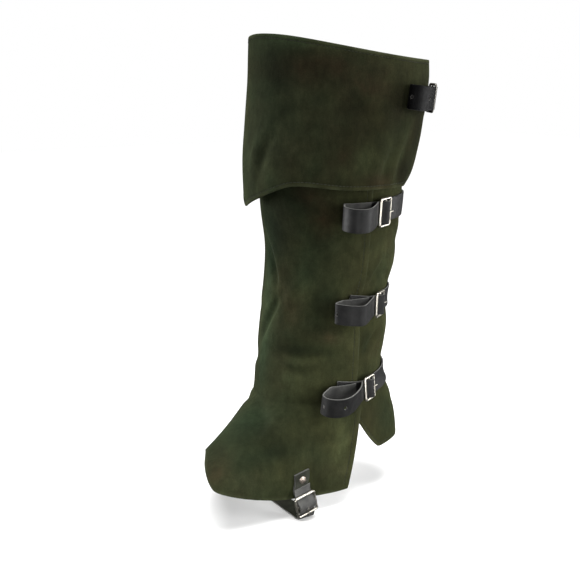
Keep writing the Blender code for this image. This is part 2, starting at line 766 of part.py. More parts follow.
class StirrupSeat:
    """The buckle's place beside the sole: its forward direction is up the leg."""

    name = "stirrup"
    width, tilt, reach, chape_length = STIRRUP_WIDTH, 0.0, STIRRUP_REACH, STIRRUP_TAB
    origin = Vector(STIRRUP_BAR)
    forward = Vector(STIRRUP_RUN).normalized()
    out = (Vector((1, 0, 0)) - forward * forward.x).normalized()
    up = forward.cross(out)
    at = Seat.at

    def over(self, forward, across, lift):
        """A point over the sleeve, or nearer the bar over the frame's own plane."""
        low = self.at(forward, lift, across)
        share = min(max((forward - self.reach - 1.5) / 12.0, 0.0), 1.0)
        share = share * share * (3 - 2 * share)
        along = low.y + (STIRRUP_ALONG + across - low.y) * share
        high = beside_sole(1, along, max(low.z, 32.0), lift)
        return Vector((low.x + (high.x - low.x) * share, along, low.z))


def bend_under(centre, along, start, end):
    """A quarter turn between the strap's upright run and its run below the sole."""
    height = STIRRUP_FLOOR + STRAP_THICK / 2 + STIRRUP_BEND
    return [Vector((centre + STIRRUP_BEND * math.cos(math.radians(turn)), along,
                    height + STIRRUP_BEND * math.sin(math.radians(turn))))
            for turn in spread(start, end, 20.0)]


def stirrup_line(seat, across):
    """From the free end on the tab, through the buckle and under the sole, to the inside."""
    lifted = LEATHER_GAP + 2 * CHAPE_THICK + 2 * SEAM_GAP + STRAP_THICK / 2
    free = [seat.over(forward, across, lifted)
            for forward in spread(STIRRUP_TIP, seat.reach + 3.5, 4.0)]
    woven = [seat.at(forward, out, across)
             for forward, out in woven_run(seat.reach)[0][::-1]]
    along = woven[-1].y
    lying = LEATHER_GAP + 0.3 + STRAP_THICK / 2
    climb = [beside_sole(-1, along, height, lying) for height in (38.0, 45.0, 52.0)]
    outer, inner = woven[-1].x - STIRRUP_BEND, climb[0].x + STIRRUP_BEND
    floor = STIRRUP_FLOOR + STRAP_THICK / 2
    below = [Vector((outer + (inner - outer) * share, along, floor))
             for share in (0.2, 0.4, 0.6, 0.8)]
    return (free + woven + bend_under(outer, along, -20.0, -90.0) + below
            + bend_under(inner, along, -90.0, -170.0)
            + [Vector((climb[0].x, along, 24.0))] + climb)


def stirrup(build):
    seat = StirrupSeat()
    half = seat.width / 2
    edges = [stirrup_line(seat, across) for across in (-half, 0.0, half)]
    name = "stirrup_strap"
    item = build.add(name, strip_mesh(name, edges), leather(name))
    thicken(item, STRAP_THICK, 0.0)
    cut(item, tongue_hole(build, seat))
    chape(build, seat)
    buckle(build, seat)
    tongue(build, seat)
    layers = LEATHER_GAP + 2 * CHAPE_THICK + SEAM_GAP
    rivet_on(build, "stirrup_chape_rivet",
             lambda lift: beside_sole(1, STIRRUP_ALONG, STIRRUP_RIVET, lift), layers)
    rivet_on(build, "stirrup_strap_rivet",
             lambda lift: beside_sole(-1, seat.origin.y, STIRRUP_RIVET + 1.0, lift),
             LEATHER_GAP + STRAP_THICK + 0.7)


def main():
    clear_scene()
    build = Build()
    front_panel(build)
    back_panel(build)
    cuff_panel(build)
    for closure in CLOSURES:
        seat = Seat(closure)
        strap(build, seat)
        chape(build, seat)
        closure_metal(build, seat)
    stirrup(build)


main()
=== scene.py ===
"""The looks of a suede boot cover: fine suede panels with their creases and stitches,
leather straps, nickel buckles and rivets, a pale floor, soft studio lights and a camera.

The toe points along -Y, the outer side of the leg is +X and up is +Z. Angles round the leg
start at the front and grow towards the outer side: 0 front, 90 outer side, 180 back.
All sizes are millimetres, and heights are above the tread of the sole.
"""

import math
from collections import namedtuple

import bpy
import numpy as np
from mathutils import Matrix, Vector


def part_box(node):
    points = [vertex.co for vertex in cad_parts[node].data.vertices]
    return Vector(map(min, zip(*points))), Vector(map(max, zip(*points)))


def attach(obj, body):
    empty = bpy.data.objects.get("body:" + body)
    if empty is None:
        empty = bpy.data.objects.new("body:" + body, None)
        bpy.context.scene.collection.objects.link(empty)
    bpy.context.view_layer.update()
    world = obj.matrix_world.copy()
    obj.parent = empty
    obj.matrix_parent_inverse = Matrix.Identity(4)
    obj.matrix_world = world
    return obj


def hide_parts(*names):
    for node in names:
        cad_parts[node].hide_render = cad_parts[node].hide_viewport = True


def rows(kind, table):
    return [kind(*row) for row in table]


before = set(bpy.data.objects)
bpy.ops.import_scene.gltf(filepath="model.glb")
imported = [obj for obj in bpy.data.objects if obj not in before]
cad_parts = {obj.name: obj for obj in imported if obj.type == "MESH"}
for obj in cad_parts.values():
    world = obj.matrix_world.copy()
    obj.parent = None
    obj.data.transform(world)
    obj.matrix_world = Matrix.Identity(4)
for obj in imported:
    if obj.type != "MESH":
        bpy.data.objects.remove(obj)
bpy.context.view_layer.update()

MM = 0.001

# The cut and the seats of the leather, as in the CAD model.
SUEDE = 2.0
SEAM_GAP = 0.3
LAP = SUEDE + SEAM_GAP
STRAP_THICK = 1.6
CHAPE_MARGIN = 1.0
CHAPE_THICK = 1.2
CHAPE_LENGTH = 33.0
LEATHER_GAP = 0.4
WIRE_RADIUS = 1.2
BAR_RADIUS = 1.0
TONGUE_RADIUS = 0.7
FRAME_REACH = 8.2
FRAME_PLAY = 0.6
FRAME_CORNER = 1.9
REAR_WIRE_LIFT = 2.9
FRONT_WIRE_LIFT = 6.4
BAR_LIFT = (REAR_WIRE_LIFT + FRONT_WIRE_LIFT) / 2
RIVET_RADIUS = 3.4
RIVET_HEIGHT = 1.2
# The rivet's outline below its dome: shares of its radius, with their heights.
RIVET_RIM = ((0.97, 0.0), (1.0, 0.06), (1.0, 0.24), (0.96, 0.34), (0.88, 0.36))
DOME_RADIUS, DOME_FOOT = 0.84 * RIVET_RADIUS, 0.45
CHAPE_RIVET = CHAPE_LENGTH - 7.0      # forward of the bar
STRAP_RIVET_TURN = 7.5                # degrees ahead of the strap's rear end
CHAPE_START = 2.5    # its two layers lie close from this far forward of the front wire
CHAPE_STEP = 0.6
TONGUE_TIP, TONGUE_TAPER = 1.7, 0.25
TONGUE_HOLE_RADIUS, TONGUE_HOLE_LEAN = 2.7, 50.0
TONGUE_HOLE_BACK, TONGUE_HOLE_LIFT = 3.4, BAR_LIFT + 1.5
CUTTER_LENGTH, PUNCH_LENGTH = 9.0, 4.0
SLOT_WIDTH, SLOT_LENGTH, SLOT_DEPTH = 2 * TONGUE_RADIUS + 1.2, 9.0, 7.6

Section = namedtuple("Section", "name height front back half_width")
SLEEVE = rows(Section, (
    ("rim", 436, 99, 62.7, 72.6),
    ("rim back", 408, 98.6, 65.8, 73),
    ("inside cuff", 362, 96, 57.5, 66.5),
    ("under cuff", 315, 95, 50, 60.6),
    ("calf", 284, 93.2, 48, 58.2),
    ("below calf", 252, 89.6, 44.2, 55.6),
    ("bulge", 228, 90.4, 42.6, 54.4),
    ("shin strap", 200, 93, 32.8, 53.7),
    ("shin", 170, 96.8, 35.6, 53.6),
    ("above ankle", 142, 99.4, 31.6, 53.4),
    ("ankle", 122, 101.8, 30, 53.2),
    ("below ankle", 98, 104.4, 43.6, 54),
))
CUFF = rows(Section, (
    ("rim", 438, 101.4, 65.1, 75),
    ("upper", 404, 102.9, 68.7, 76),
    ("strap", 382, 104.4, 67, 75.4),
    ("middle", 350, 107.2, 62.6, 73.4),
    ("lower", 322, 109.4, 56, 70.8),
    ("hem", 286, 110, 51, 68),
))
RIM_HEIGHT, RIM_TILT, RIM_SAG = 423.6, 10.6, 3.3
ANKLE_HEIGHT = 108.0

HemPoint = namedtuple("HemPoint", "name angle out along height quickness")
HEM = rows(HemPoint, (
    ("back of heel", -180, 0, 55.5, 57, 2.1),
    ("inner heel", -142, -36, 32, 50, 1.9),
    ("behind inner ankle", -116, -49, -3, 40, 1.5),
    ("inner ankle", -91, -52, -34, 30, 1.4),
    ("inner waist", -70, -51.5, -68, 29, 1.4),
    ("inner ball", -54, -49, -100, 33, 1.3),
    ("inner corner", -42, -45.5, -126, 40, 1.1),
    ("inner arch", -26, -33, -143, 50, 1),
    ("crest", 0, 0, -162.5, 68, 1),
    ("outer arch", 14, 20, -173.5, 62.5, 1),
    ("toe corner", 27, 38, -178, 53.5, 1),
    ("outer corner", 37, 47.5, -173, 47, 1.1),
    ("outer ball", 50, 52, -142, 35, 1.3),
    ("outer waist", 66, 53.5, -103, 26, 1.4),
    ("lap corner", 91, 54.5, -38, 21, 1.4),
    ("behind ankle", 116, 51, -3, 36, 1.5),
    ("side of heel", 142, 37, 33, 50, 1.9),
    ("back of heel", 180, 0, 55.5, 57, 2.1),
))

Fold = namedtuple("Fold", "name angle height half_angle half_height lean depth")
FOLDS = rows(Fold, (
    ("shin, upper arm", 4, 232, 16, 9, -1.6, 2.2),
    ("shin, lower arm", 2, 186, 17, 9, 1.5, 2.4),
    ("side hollow", 42, 163, 27, 8, 0.1, 2.8),
    ("instep, upper", 12, 103, 20, 6, -0.3, 2.4),
    ("instep, lower", 38, 82, 16, 7, -0.6, 2.6),
    ("inner ankle", -48, 140, 26, 8, 0.2, 2.4),
    ("inner shin", -70, 226, 24, 9, -0.4, 2.2),
))

LAP_EDGE = 92.0
# Degrees by which the front panel's free edge has shifted back at the ankle and at the foot's
# edge, and the height from which it does.
LAP_SHIFT, LAP_SHIFT_FOOT, LAP_SHIFT_FROM = 5.5, -1.5, 185.0
FRONT_SEAM = -165.0
BACK_FRONT_EDGE = 70.0
BACK_SEAM = 204.0
UNDERLAP_SINK, UNDERLAP_FADE = 0.7, 7.5    # the back panel lies deeper under the lap
CUFF_FRONT_END = 141.0
CUFF_REAR_END = -205.0
CUFF_HEM = 305.0
# The hem runs down to a tip and rises a little to both sides of it.
CUFF_TIP_ANGLE, CUFF_TIP_DROP, CUFF_TIP_SPREAD, CUFF_TIP_CURVE = -14.0, 18.0, 50.0, 1.3
CUFF_BULGE, CUFF_BULGE_TURN, CUFF_BULGE_SPREAD = 5.0, 55.0, 25.0

# A strap lies rise higher behind its buckle, ends at strap_end degrees and clears its seat by
# slack; tilt raises the chape's end; the loop of its free end leans, and goes through places
# forward and out of the bar.
Closure = namedtuple("Closure", "name height angle width rise strap_end slack tilt lean loop")
CLOSURES = rows(Closure, (
    ("cuff", 382.5, 149, 21, 0, 202, 0, 0, 0,
     ((20, 4.6), (38, 2), (54, -4.5), (64.5, -14), (60.5, -21.5))),
    ("calf", 284, 101, 21, 2, 183, 0, 0, 0,
     ((22, 13.5), (36, 21), (45.5, 21.5), (51, 17), (52.5, 9.5),
      (50.5, 3), (46, -1))),
    ("shin", 197.5, 111, 18.5, 1, 183, 0.6, 4, 0,
     ((24, 10.5), (42, 16.5), (50, 10.5), (54.5, 1), (54, -6))),
    ("ankle", 118, 105, 17.5, 5, 183, 1, 4, 2,
     ((24, 13.5), (41, 21.5), (53, 23.5), (60.5, 19.5), (63.5, 11.5),
      (61.5, 3), (56, -3))),
))
# A strap leaves its seat this far behind its buckle. The far wall of its loop lies this high
# over the suede, between these places forward of the bar.
STRAP_LEAVES = 6.0
FAR_WALL_LIFT, FAR_WALL_START, TIP_REACH = 5.9, 40.0, 17.0
# Where round the wires, in degrees from forward to out, a strap starts and ends its way
# through the buckle, the chape starts round the bar, and the tongue's hook starts and ends.
STRAP_ENTERS, STRAP_EXITS, CHAPE_ENTERS = -105.0, -52.0, 285.0
HOOK_START, HOOK_END = -170.0, 100.0

STIRRUP_WIDTH = 17.0
STIRRUP_ALONG = -92.0
STIRRUP_BAR = (56.9, -91.5, 21.0)
STIRRUP_RUN = (-3.0, -4.2, 18.4)
STIRRUP_REACH = 9.5
STIRRUP_TAB = 30.5
STIRRUP_TIP = 17.0
STIRRUP_RIVET = 43.5
STIRRUP_FLOOR = 5.0
STIRRUP_BEND = 5.0
STIRRUP_UPRIGHT, STIRRUP_CLIMB = 24.0, (38.0, 45.0, 52.0)    # heights on the inner side
STIRRUP_INNER_LIFT = LEATHER_GAP + SEAM_GAP
STIRRUP_RIVET_LIFT = LEATHER_GAP + STRAP_THICK + 0.7
# The tab comes down on the sleeve from this far ahead of the front wire, over so much.
TAB_LEAVES, TAB_FADE = 1.5, 12.0
TIP_LEAVES = 3.5      # the free end leaves the tab this far ahead of the front wire
LOWEST_SEAT = 32.0    # the stirrup's seat on the sleeve is taken no lower than here
SIDE_FROM, SIDE_TO = 20.0, 88.0    # its seats lie between these angles from the front

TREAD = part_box("stirrup_strap")[0].z / MM - STIRRUP_FLOOR    # its height in the frame

# What the CAD model leaves out.
#
# Smaller creases of the sleeve and the cuff: each runs length millimetres to both sides of
# its middle at this slant above the horizontal, is width across and depth deep. A ridge,
# share as high as the trough is deep, stands along its left side, and its ends bend bow
# millimetres to that side.
Crease = namedtuple("Crease", "name angle height length width slant depth share bow", defaults=(-2.0,))
SLEEVE_CREASES = rows(Crease, (
    ("shin, upper arm", 5, 226, 23, 3.4, -74, 1.9, 0.7),
    ("shin, lower arm", 1, 184, 22, 3.4, 61, 2, 0.7),
    ("side hollow", 43, 152, 25, 3, 180, 2.6, 0.7, -5),
    ("above side hollow", 58, 176, 20, 5, 16, 1.1, 0.5),
    ("below side hollow", 34, 139, 20, 4.5, 170, 0.8, 0.7),
    ("instep, upper", 21, 98, 15, 3.6, -24, 1.9, 0.6),
    ("instep, lower", 35, 79, 16, 3.8, -34, 1.9, 0.6),
    ("ankle side", 66, 99, 16, 4, 20, 1.2, 0.5),
    ("foot side", 64, 70, 18, 5, 42, 0.9, 0.4),
    ("toe", 10, 70, 14, 4.5, 20, 0.9, 0.5),
    ("calf side", 34, 258, 24, 6, -32, 1.2, 0.6),
    ("calf, from strap", 70, 251, 22, 5, -48, 1.2, 0.6),
    ("shin side", 34, 206, 20, 5, 66, 1.1, 0.6),
    ("shin, from strap", 66, 218, 18, 4.5, 38, 1.2, 0.6),
    ("back, above shin", 107, 229, 14, 3.2, 52, 1.7, 0.8),
    ("back, below shin", 108, 161, 14, 3.2, 54, 1.5, 0.6),
    ("back, over shin strap", 126, 218, 13, 3.6, -40, 1.2, 0.6),
    ("back, calf", 140, 256, 18, 4.5, -35, 1.2, 0.6),
    ("back of ankle", 170, 138, 22, 4, -12, 1.5, 0.6),
    ("heel", 150, 88, 18, 4, 28, 1.1, 0.5),
    ("inner calf", -110, 262, 26, 5, 28, 1.3, 0.5),
    ("inner shin, upper", -66, 214, 28, 4, -24, 1.7, 0.6),
    ("inner shin, lower", -52, 178, 22, 4.4, 33, 1.4, 0.6),
    ("inner back", -138, 196, 22, 4.2, 18, 1.4, 0.6),
    ("inner ankle", -54, 138, 26, 3.8, 172, 1.8, 0.7, -5),
    ("inner instep", -30, 100, 20, 3.6, 30, 1.6, 0.6),
    ("inner heel", -120, 104, 22, 4.4, -22, 1.3, 0.5),
))
CUFF_CREASES = rows(Crease, (
    ("front, diagonal", 11, 334, 20, 4.6, 73, 2.4, 0.8),
    ("front, upper", 24, 390, 26, 8, -70, 1, 0.5),
    ("outer side, low", 50, 340, 26, 7, 78, 1.1, 0.6),
    ("outer side", 76, 366, 26, 7, -78, 1, 0.6),
    ("rear, low", 112, 330, 22, 4.2, 84, 2, 0.8),
    ("rear, low, second", 99, 328, 18, 4, 80, 1.7, 0.8),
    ("inner side", -84, 350, 34, 8, 76, 1.4, 0.5),
    ("inner front", -46, 336, 30, 7, -66, 1.3, 0.5),
    ("inner back", -140, 352, 32, 8, 80, 1.3, 0.5),
))
NOMINAL_RADIUS = 60.0    # turns angles round the leg into millimetres
UNDULATION = 0.65
UNDULATION_AROUND, UNDULATION_DOWN = 21.0, 27.0
DRIFT_AROUND, DRIFT_DOWN = 34.0, 43.0
RIDGE_AWAY, RIDGE_WIDTH = 2.0, 1.2    # in widths of the trough
RAISED_SHARE = 0.8       # what stands proud of the sleeve is held down to this share
CUFF_WAVE_TURN = 40.0    # the cuff's waves are the sleeve's, turned so many degrees
# Layers lie close at the rim: creases start so far below it and fade in over so much.
QUIET_TOP, QUIET_FADE = 22.0, 60.0
CUFF_QUIET_TOP, CUFF_QUIET_FADE = 6.0, 40.0
# The suede is quiet round a strap, on either side, ahead of its buckle and past its end.
SEAT_MARGIN, CLEAR_OF_STRAP = 2.0, 5.0
SEAT_AHEAD, CUFF_SEAT_AHEAD, SEAT_FADE = 45.0, 50.0, 8.0
SEAT_PAST, PAST_FADE = 3.0, 5.0
CUFF_SEAT_END = 215.0
RISE_TURN = 60.0         # a strap climbs its whole rise over so many degrees

# Soft patches where the suede is darker or lighter, in halvings or doublings, and browner
# or, below 0, greener: half_angle degrees and half_height millimetres in reach. The darker
# and lighter share is partly the hide's own tone and partly painted shade and painted light:
# painted shadows by the straps' loops and under the cuff's hem, painted shade along the
# cuff's rear edge and in the side hollow, a painted highlight along the cuff's rim and
# painted light along the sleeve's front edge.
Patch = namedtuple("Patch", "name angle height half_angle half_height tone warmth")
CUFF_PATCHES = rows(Patch, (
    # Painted highlight along the cuff's rim.
    ("rim, front", 20, 434, 24, 7, 0.9, -0.3),
    ("rim, outer", 50, 428, 16, 5, 0.7, 0),
    ("upper band", 48, 409, 40, 12, -0.5, 1),
    ("upper front", 14, 408, 16, 16, -0.6, -0.3),
    ("front edge", 6, 360, 10, 24, -0.35, -0.2),
    ("front, middle", 27, 360, 9, 10, 0.5, 0.2),
    ("outer middle", 67, 364, 14, 27, -0.6, 0.3),
    # Painted shadow of the cuff strap's loop.
    ("beside strap", 100, 379, 9, 14, -1.8, 0.5),
    ("rear, upper", 80, 392, 14, 12, -0.1, 1),
    ("rear", 86, 362, 18, 30, -0.25, 0.2),
    ("rear, low", 80, 333, 9, 14, 0.4, -0.2),
    ("outer, low", 66, 330, 8, 12, -0.2, 0.8),
    ("front, low", 16, 326, 7, 15, 0.6, 0),
    ("middle", 36, 345, 14, 10, 0.25, 0.2),
    ("upper middle", 46, 384, 9, 9, 0.3, -0.2),
    ("front, green", -6, 330, 12, 24, 0.1, -0.4),
    ("above hem", 58, 312, 24, 6, -0.45, 0.2),
    ("rear, brown", 98, 312, 14, 8, 0, 1),
    # Painted shade along the cuff's rear edge, down to its hem.
    ("rear edge", 126, 366, 10, 48, -1.4, 0.6),
    ("rear edge, low", 118, 314, 9, 16, -1.3, 0.4),
    ("inner band", -60, 408, 50, 16, -0.4, 0.7),
    ("inner side, low", -95, 330, 20, 18, 0.4, -0.3),
    ("back", -150, 372, 24, 26, -0.3, 0.6),
))
SLEEVE_PATCHES = rows(Patch, (
    # Painted shadow of the cuff's hem on the sleeve.
    ("under cuff", 18, 294, 24, 13, -0.7, -0.2),
    ("under cuff, brown", 41, 301, 10, 9, -0.2, 1),
    ("calf, front", 4, 268, 13, 28, -0.6, -0.8),
    ("calf, brown", 53, 281, 11, 16, 0.2, 1),
    ("calf, low", 36, 229, 11, 15, 0.4, -0.6),
    ("calf, rear", 84, 242, 22, 24, 0.3, 0.2),
    ("back, calf", 114, 230, 9, 18, 0.4, -0.3),
    ("front edge, upper", -5, 246, 10, 34, 0.1, -1),
    # Painted light along the sleeve's front edge.
    ("front edge, middle", -2, 196, 15, 38, 1, -0.3),
    ("shin, outer", 60, 206, 13, 16, -0.4, -0.4),
    ("shin, middle", 28, 198, 18, 34, 0.4, 0.5),
    # Painted shade in the side hollow's crease.
    ("side hollow", 40, 159, 28, 5, -0.9, -0.3),
    ("hollow, front", 26, 168, 8, 7, 0.3, 0),
    ("hollow, rear", 64, 172, 11, 8, 0.4, 0.7),
    ("shin, rear", 86, 160, 18, 24, 0.6, 0.1),
    ("back, below shin", 102, 159, 6, 12, -0.7, -0.5),
    ("front edge, lower", -3, 144, 12, 40, 0.4, -1),
    ("above ankle", 44, 134, 24, 15, 0.95, 0.1),
    # Painted shadow by the ankle strap's loop.
    ("above ankle loop", 68, 135, 7, 9, -0.6, 0),
    ("ankle, front", 26, 117, 17, 12, 0.95, 0.2),
    # Painted shadow by the ankle strap's loop.
    ("beside ankle loop", 58, 106, 8, 9, -0.5, 0),
    ("instep", 10, 94, 18, 10, 0, -1),
    ("foot, middle", 61, 87, 8, 8, 0.3, 0),
    ("foot, front", 34, 72, 10, 8, -0.45, -0.6),
    ("foot, lower", 57, 64, 8, 14, 0.45, -0.3),
    ("foot, rear", 78, 54, 12, 42, 0.9, -0.3),
    ("toe", 29, 55, 9, 10, 0.45, 0.1),
    ("toe, brown", 17, 62, 8, 10, 0, 0.8),
    ("toe edge", 8, 66, 7, 14, -0.3, 0.2),
    ("waist", 40, 38, 9, 10, 0.4, -0.2),
    ("heel", 130, 80, 16, 26, -0.7, -0.7),
    ("inner shin", -62, 205, 30, 30, -0.4, 0.5),
    ("inner ankle", -80, 132, 34, 16, 0.4, -0.3),
    ("inner foot", -44, 70, 16, 22, -0.4, -0.4),
    ("back of calf", 176, 236, 26, 24, 0.4, 0.5),
))

LAP_PULL_FROM = 60.0     # the front panel's grid follows its free edge from here
FRONT_FOOT, BACK_FOOT = 74.0, 46.0    # each panel's length below the ankle
HEEL_LINE_ANGLE, HEEL_LINE_LEVELS = 168.0, (0.98, 1.88)    # a row of stitches down the heel
# The back panel's lower end: the angle and level of its corner, the highest level ahead of
# it, and how many levels it runs down with each degree ahead of the corner and behind it.
FLAP_CORNER, FLAP_LEVEL, FLAP_TOP = 120.0, 0.81, 0.12
FLAP_SLANT, FLAP_FALL = 0.0235, 0.006
CUFF_RADIUS, CUFF_STEP = 78.0, 2.6
# The cuff's slit widens below this level, to both sides, by so many degrees at the hem.
FLARE_LEVEL, FLARE_CURVE, FLARE_FROM, FLARE_REAR_FROM = 0.78, 1.4, 90.0, -165.0
FLARE_FRONT, FLARE_REAR = 20.0, 14.0

GRID_STEP = 2.3
EDGE_STEP = 0.45         # near an edge, fine enough for its rounding and its stitches
EDGE_REACH = 7.5
EDGE_OFFSETS = (0.0, 0.12, 0.3, 0.55)
CUT_ROUNDING = 0.55      # radius of a cut edge of suede
CUT_FLAT = 0.5           # share of the wall that stays flat at the cut
LEATHER_ROUNDING = 0.4
LEATHER_FLAT = 0.62

GROOVE_DEPTH, GROOVE_WIDTH = 0.32, 0.7
HEM_PUFF = 0.16          # the band between an edge and its stitches stands this proud
SEAM_END = 0.8           # a row stops short of the other edges by this share of its inset
WEAR_AND_HIGHLIGHT_REACH, RUB_AND_HIGHLIGHT_FADE = 2.0, 0.8    # lighter edges, worn and at the cuff's rim a painted highlight, reach so far in; a lighter band along a seam ends so softly
SHADE_AND_TONE_RANGE = (-2.0, 1.4)
STITCH_PITCH, STITCH_LENGTH, STITCH_RADIUS, STITCH_SIDES = 3.3, 2.5, 0.27, 6
STITCH_RINGS = ((-1.0, 0.4, -0.4), (-0.82, 0.95, -0.16), (-0.35, 1.0, 0.0), (0.35, 1.0, 0.0),
                (0.82, 0.95, -0.16), (1.0, 0.4, -0.4))    # place, thickness and drop
# A row of stitches so far inside one side. The band outside it stands proud by puff and is made lighter,
# for wear and, at the cuff's rim, as a painted highlight.
Seam = namedtuple("Seam", "side inset puff rub", defaults=(0.0, 0.0))
FRONT_SEAMS = (Seam("rear", 6.2, HEM_PUFF, 0.2), Seam("top", 3.4), Seam("front", 3.2),
               Seam("front", 7.0, HEM_PUFF / 2, 0.26))
BACK_SEAMS = (Seam("hem", 3.2), Seam("top", 3.4))
# The cuff's top band is the lightest: a painted highlight along the rim, with some wear.
CUFF_SEAMS = [Seam(side, 3.6, HEM_PUFF, rub) for side, rub in
              (("front", 0.25), ("rear", 0.25), ("top", 0.5), ("hem", 0.12))]

STRAP_STEP = 0.7
PUNCH_RADIUS = 1.7
PUNCHES = {"cuff": (54.0, 76.0), "calf": (74.0, 96.0), "shin": (70.0, 92.0),
           "ankle": (60.0, 82.0)}    # along the strap from the bar
RIBBON_OFFSETS, RIBBON_EDGE = (0.0, 0.12, 0.28, 0.55, 1.1), 2.2
ROUND_SIDES = 28
ANY_WAY = (0.3, 0.5, 0.8)    # not along any axis used here
SHARP_ANGLE = math.radians(50)


# ---- Smooth tables ----

def curve(table, key, value):
    """A smooth function through the rows of a table, in the order of their keys."""
    x, y = np.array(sorted((getattr(row, key), getattr(row, value)) for row in table), float).T
    low = np.maximum(np.arange(len(x)) - 1, 0)
    high = np.minimum(np.arange(len(x)) + 1, len(x) - 1)
    slope = (y[high] - y[low]) / (x[high] - x[low])

    def at(place):
        place = np.clip(place, x[0], x[-1])
        i = np.clip(np.searchsorted(x, place) - 1, 0, len(x) - 2)
        span = x[i + 1] - x[i]
        t = (place - x[i]) / span
        return (y[i] * (1 + 2 * t) * (1 - t) ** 2 + y[i + 1] * t * t * (3 - 2 * t)
                + span * t * (1 - t) * (slope[i] * (1 - t) - slope[i + 1] * t))

    return at


def stack(x, y, z):
    return np.stack(np.broadcast_arrays(x, y, z), axis=-1).astype(float)


def unit(vectors):
    return vectors / np.linalg.norm(vectors, axis=-1, keepdims=True)


def step_up(value):
    """0 below 0, 1 above 1 and smooth between."""
    value = np.clip(value, 0, 1)
    return value * value * (3 - 2 * value)


def wrapped(angle):
    """The same angle from -180 to 180."""
    return (angle + 180) % 360 - 180


class Oval:
    """Horizontal ovals that follow a table of sections."""

    def __init__(self, sections):
        self.front, self.back, self.half = (
            curve(sections, "height", name) for name in ("front", "back", "half_width"))

    def point(self, angle, height):
        turn = np.radians(angle)
        front, back = self.front(height), self.back(height)
        return stack(self.half(height) * np.sin(turn),
                     (back - front) / 2 - (back + front) / 2 * np.cos(turn), height)


SLEEVE_OVAL, CUFF_OVAL = Oval(SLEEVE), Oval(CUFF)
HEM_OUT, HEM_ALONG, HEM_HEIGHT, HEM_QUICKNESS = (
    curve(HEM, "angle", name) for name in ("out", "along", "height", "quickness"))


# ---- The form of the sleeve and the cuff ----

def rim_height(angle):
    turn = np.radians(angle)
    return RIM_HEIGHT + RIM_TILT * np.cos(turn) + RIM_SAG * np.cos(2 * turn)


def sleeve_base(angle, level):
    """Level 0 is the rim, 1 the ankle and 2 the edge over the foot."""
    angle, level = np.broadcast_arrays(angle, level)
    top = rim_height(angle)
    start = SLEEVE_OVAL.point(angle, top + (ANKLE_HEIGHT - top) * np.minimum(level, 1))
    angle = wrapped(angle)
    end = stack(HEM_OUT(angle), HEM_ALONG(angle), HEM_HEIGHT(angle))
    quickness = HEM_QUICKNESS(angle)
    share = np.clip(level - 1, 0, 1)
    spread = np.where(quickness > 1, 1 - (1 - share) ** quickness, share ** (1 / quickness))
    return start + (end - start) * stack(spread, spread, share)


def cuff_base(angle, level):
    """Level 0 is the rim and 1 the hem of the cuff."""
    turn = np.abs(angle - CUFF_TIP_ANGLE)
    low = (CUFF_HEM + CUFF_BULGE * np.exp(-((turn - CUFF_BULGE_TURN) / CUFF_BULGE_SPREAD) ** 2)
           - CUFF_TIP_DROP * np.maximum(0, 1 - turn / CUFF_TIP_SPREAD) ** CUFF_TIP_CURVE)
    top = rim_height(angle)
    return CUFF_OVAL.point(angle, top + (low - top) * level)


def nearness(row, angle, height, lean=0.0):
    """1 at the middle of a row's soft oval, fading to 0 outside it."""
    around = wrapped(angle - row.angle)
    across = (height - row.height - lean * around) / row.half_height
    return np.exp(-(around / row.half_angle) ** 2 - across ** 2)


def fold_depth(angle, height):
    return sum(fold.depth * nearness(fold, angle, height, fold.lean) for fold in FOLDS)


def crease_depth(creases, angle, height):
    total = 0.0
    for crease in creases:
        side = np.radians(wrapped(angle - crease.angle)) * NOMINAL_RADIUS
        up = height - crease.height
        slant = math.radians(crease.slant)
        along = (side * math.cos(slant) + up * math.sin(slant)) / crease.length
        across = up * math.cos(slant) - side * math.sin(slant) - crease.bow * along ** 2
        across = across / crease.width
        ridge = np.exp(-((across - RIDGE_AWAY) / RIDGE_WIDTH) ** 2)
        total = total + crease.depth * np.exp(-along ** 2) * (np.exp(-across ** 2) - crease.share * ridge)
    return total


def undulation(angle, height):
    """Slow waves, as in any hide that has been worn."""
    around = np.radians(angle) * NOMINAL_RADIUS
    first = np.sin(around / UNDULATION_AROUND + 1.7 * np.sin(height / DRIFT_DOWN))
    second = np.sin(height / UNDULATION_DOWN + 1.3 * np.sin(around / DRIFT_AROUND) + 0.8)
    return UNDULATION * first * second


def behind_buckle(closure, angle):
    """0 at the buckle, 1 where its strap has risen as far as it does."""
    return np.clip((angle - closure.angle) / RISE_TURN, 0, 1)


def strap_share(closure, angle, height, ahead):
    """1 at a strap's own height from ahead of its buckle on, 0 well clear of it."""
    rise = closure.rise * behind_buckle(closure, angle)
    away = np.abs(height - closure.height - rise) - closure.width / 2 - SEAT_MARGIN
    return ((1 - step_up(away / CLEAR_OF_STRAP))
            * (1 - step_up((closure.angle - ahead - angle) / SEAT_FADE)))


def sleeve_relief(angle, height):
    """How far the real suede lies outside the CAD model's smooth form."""
    seats = np.maximum.reduce([
        strap_share(closure, angle, height, SEAT_AHEAD)
        * (1 - step_up((angle - closure.strap_end - SEAT_PAST) / PAST_FADE))
        for closure in CLOSURES[1:]])
    relief = undulation(angle, height) - crease_depth(SLEEVE_CREASES, angle, height)
    relief = relief * (1 - seats) * np.where(relief > 0, RAISED_SHARE, 1.0)
    return relief * step_up((rim_height(angle) - height - QUIET_TOP) / QUIET_FADE)


def cuff_relief(angle, height):
    """The same for the cuff."""
    turn = angle % 360
    seat = strap_share(CLOSURES[0], turn, height, CUFF_SEAT_AHEAD) * (turn < CUFF_SEAT_END)
    relief = undulation(angle + CUFF_WAVE_TURN, height) - crease_depth(CUFF_CREASES, angle, height)
    below_rim = rim_height(angle) - height
    return relief * (1 - seat) * step_up((below_rim - CUFF_QUIET_TOP) / CUFF_QUIET_FADE)


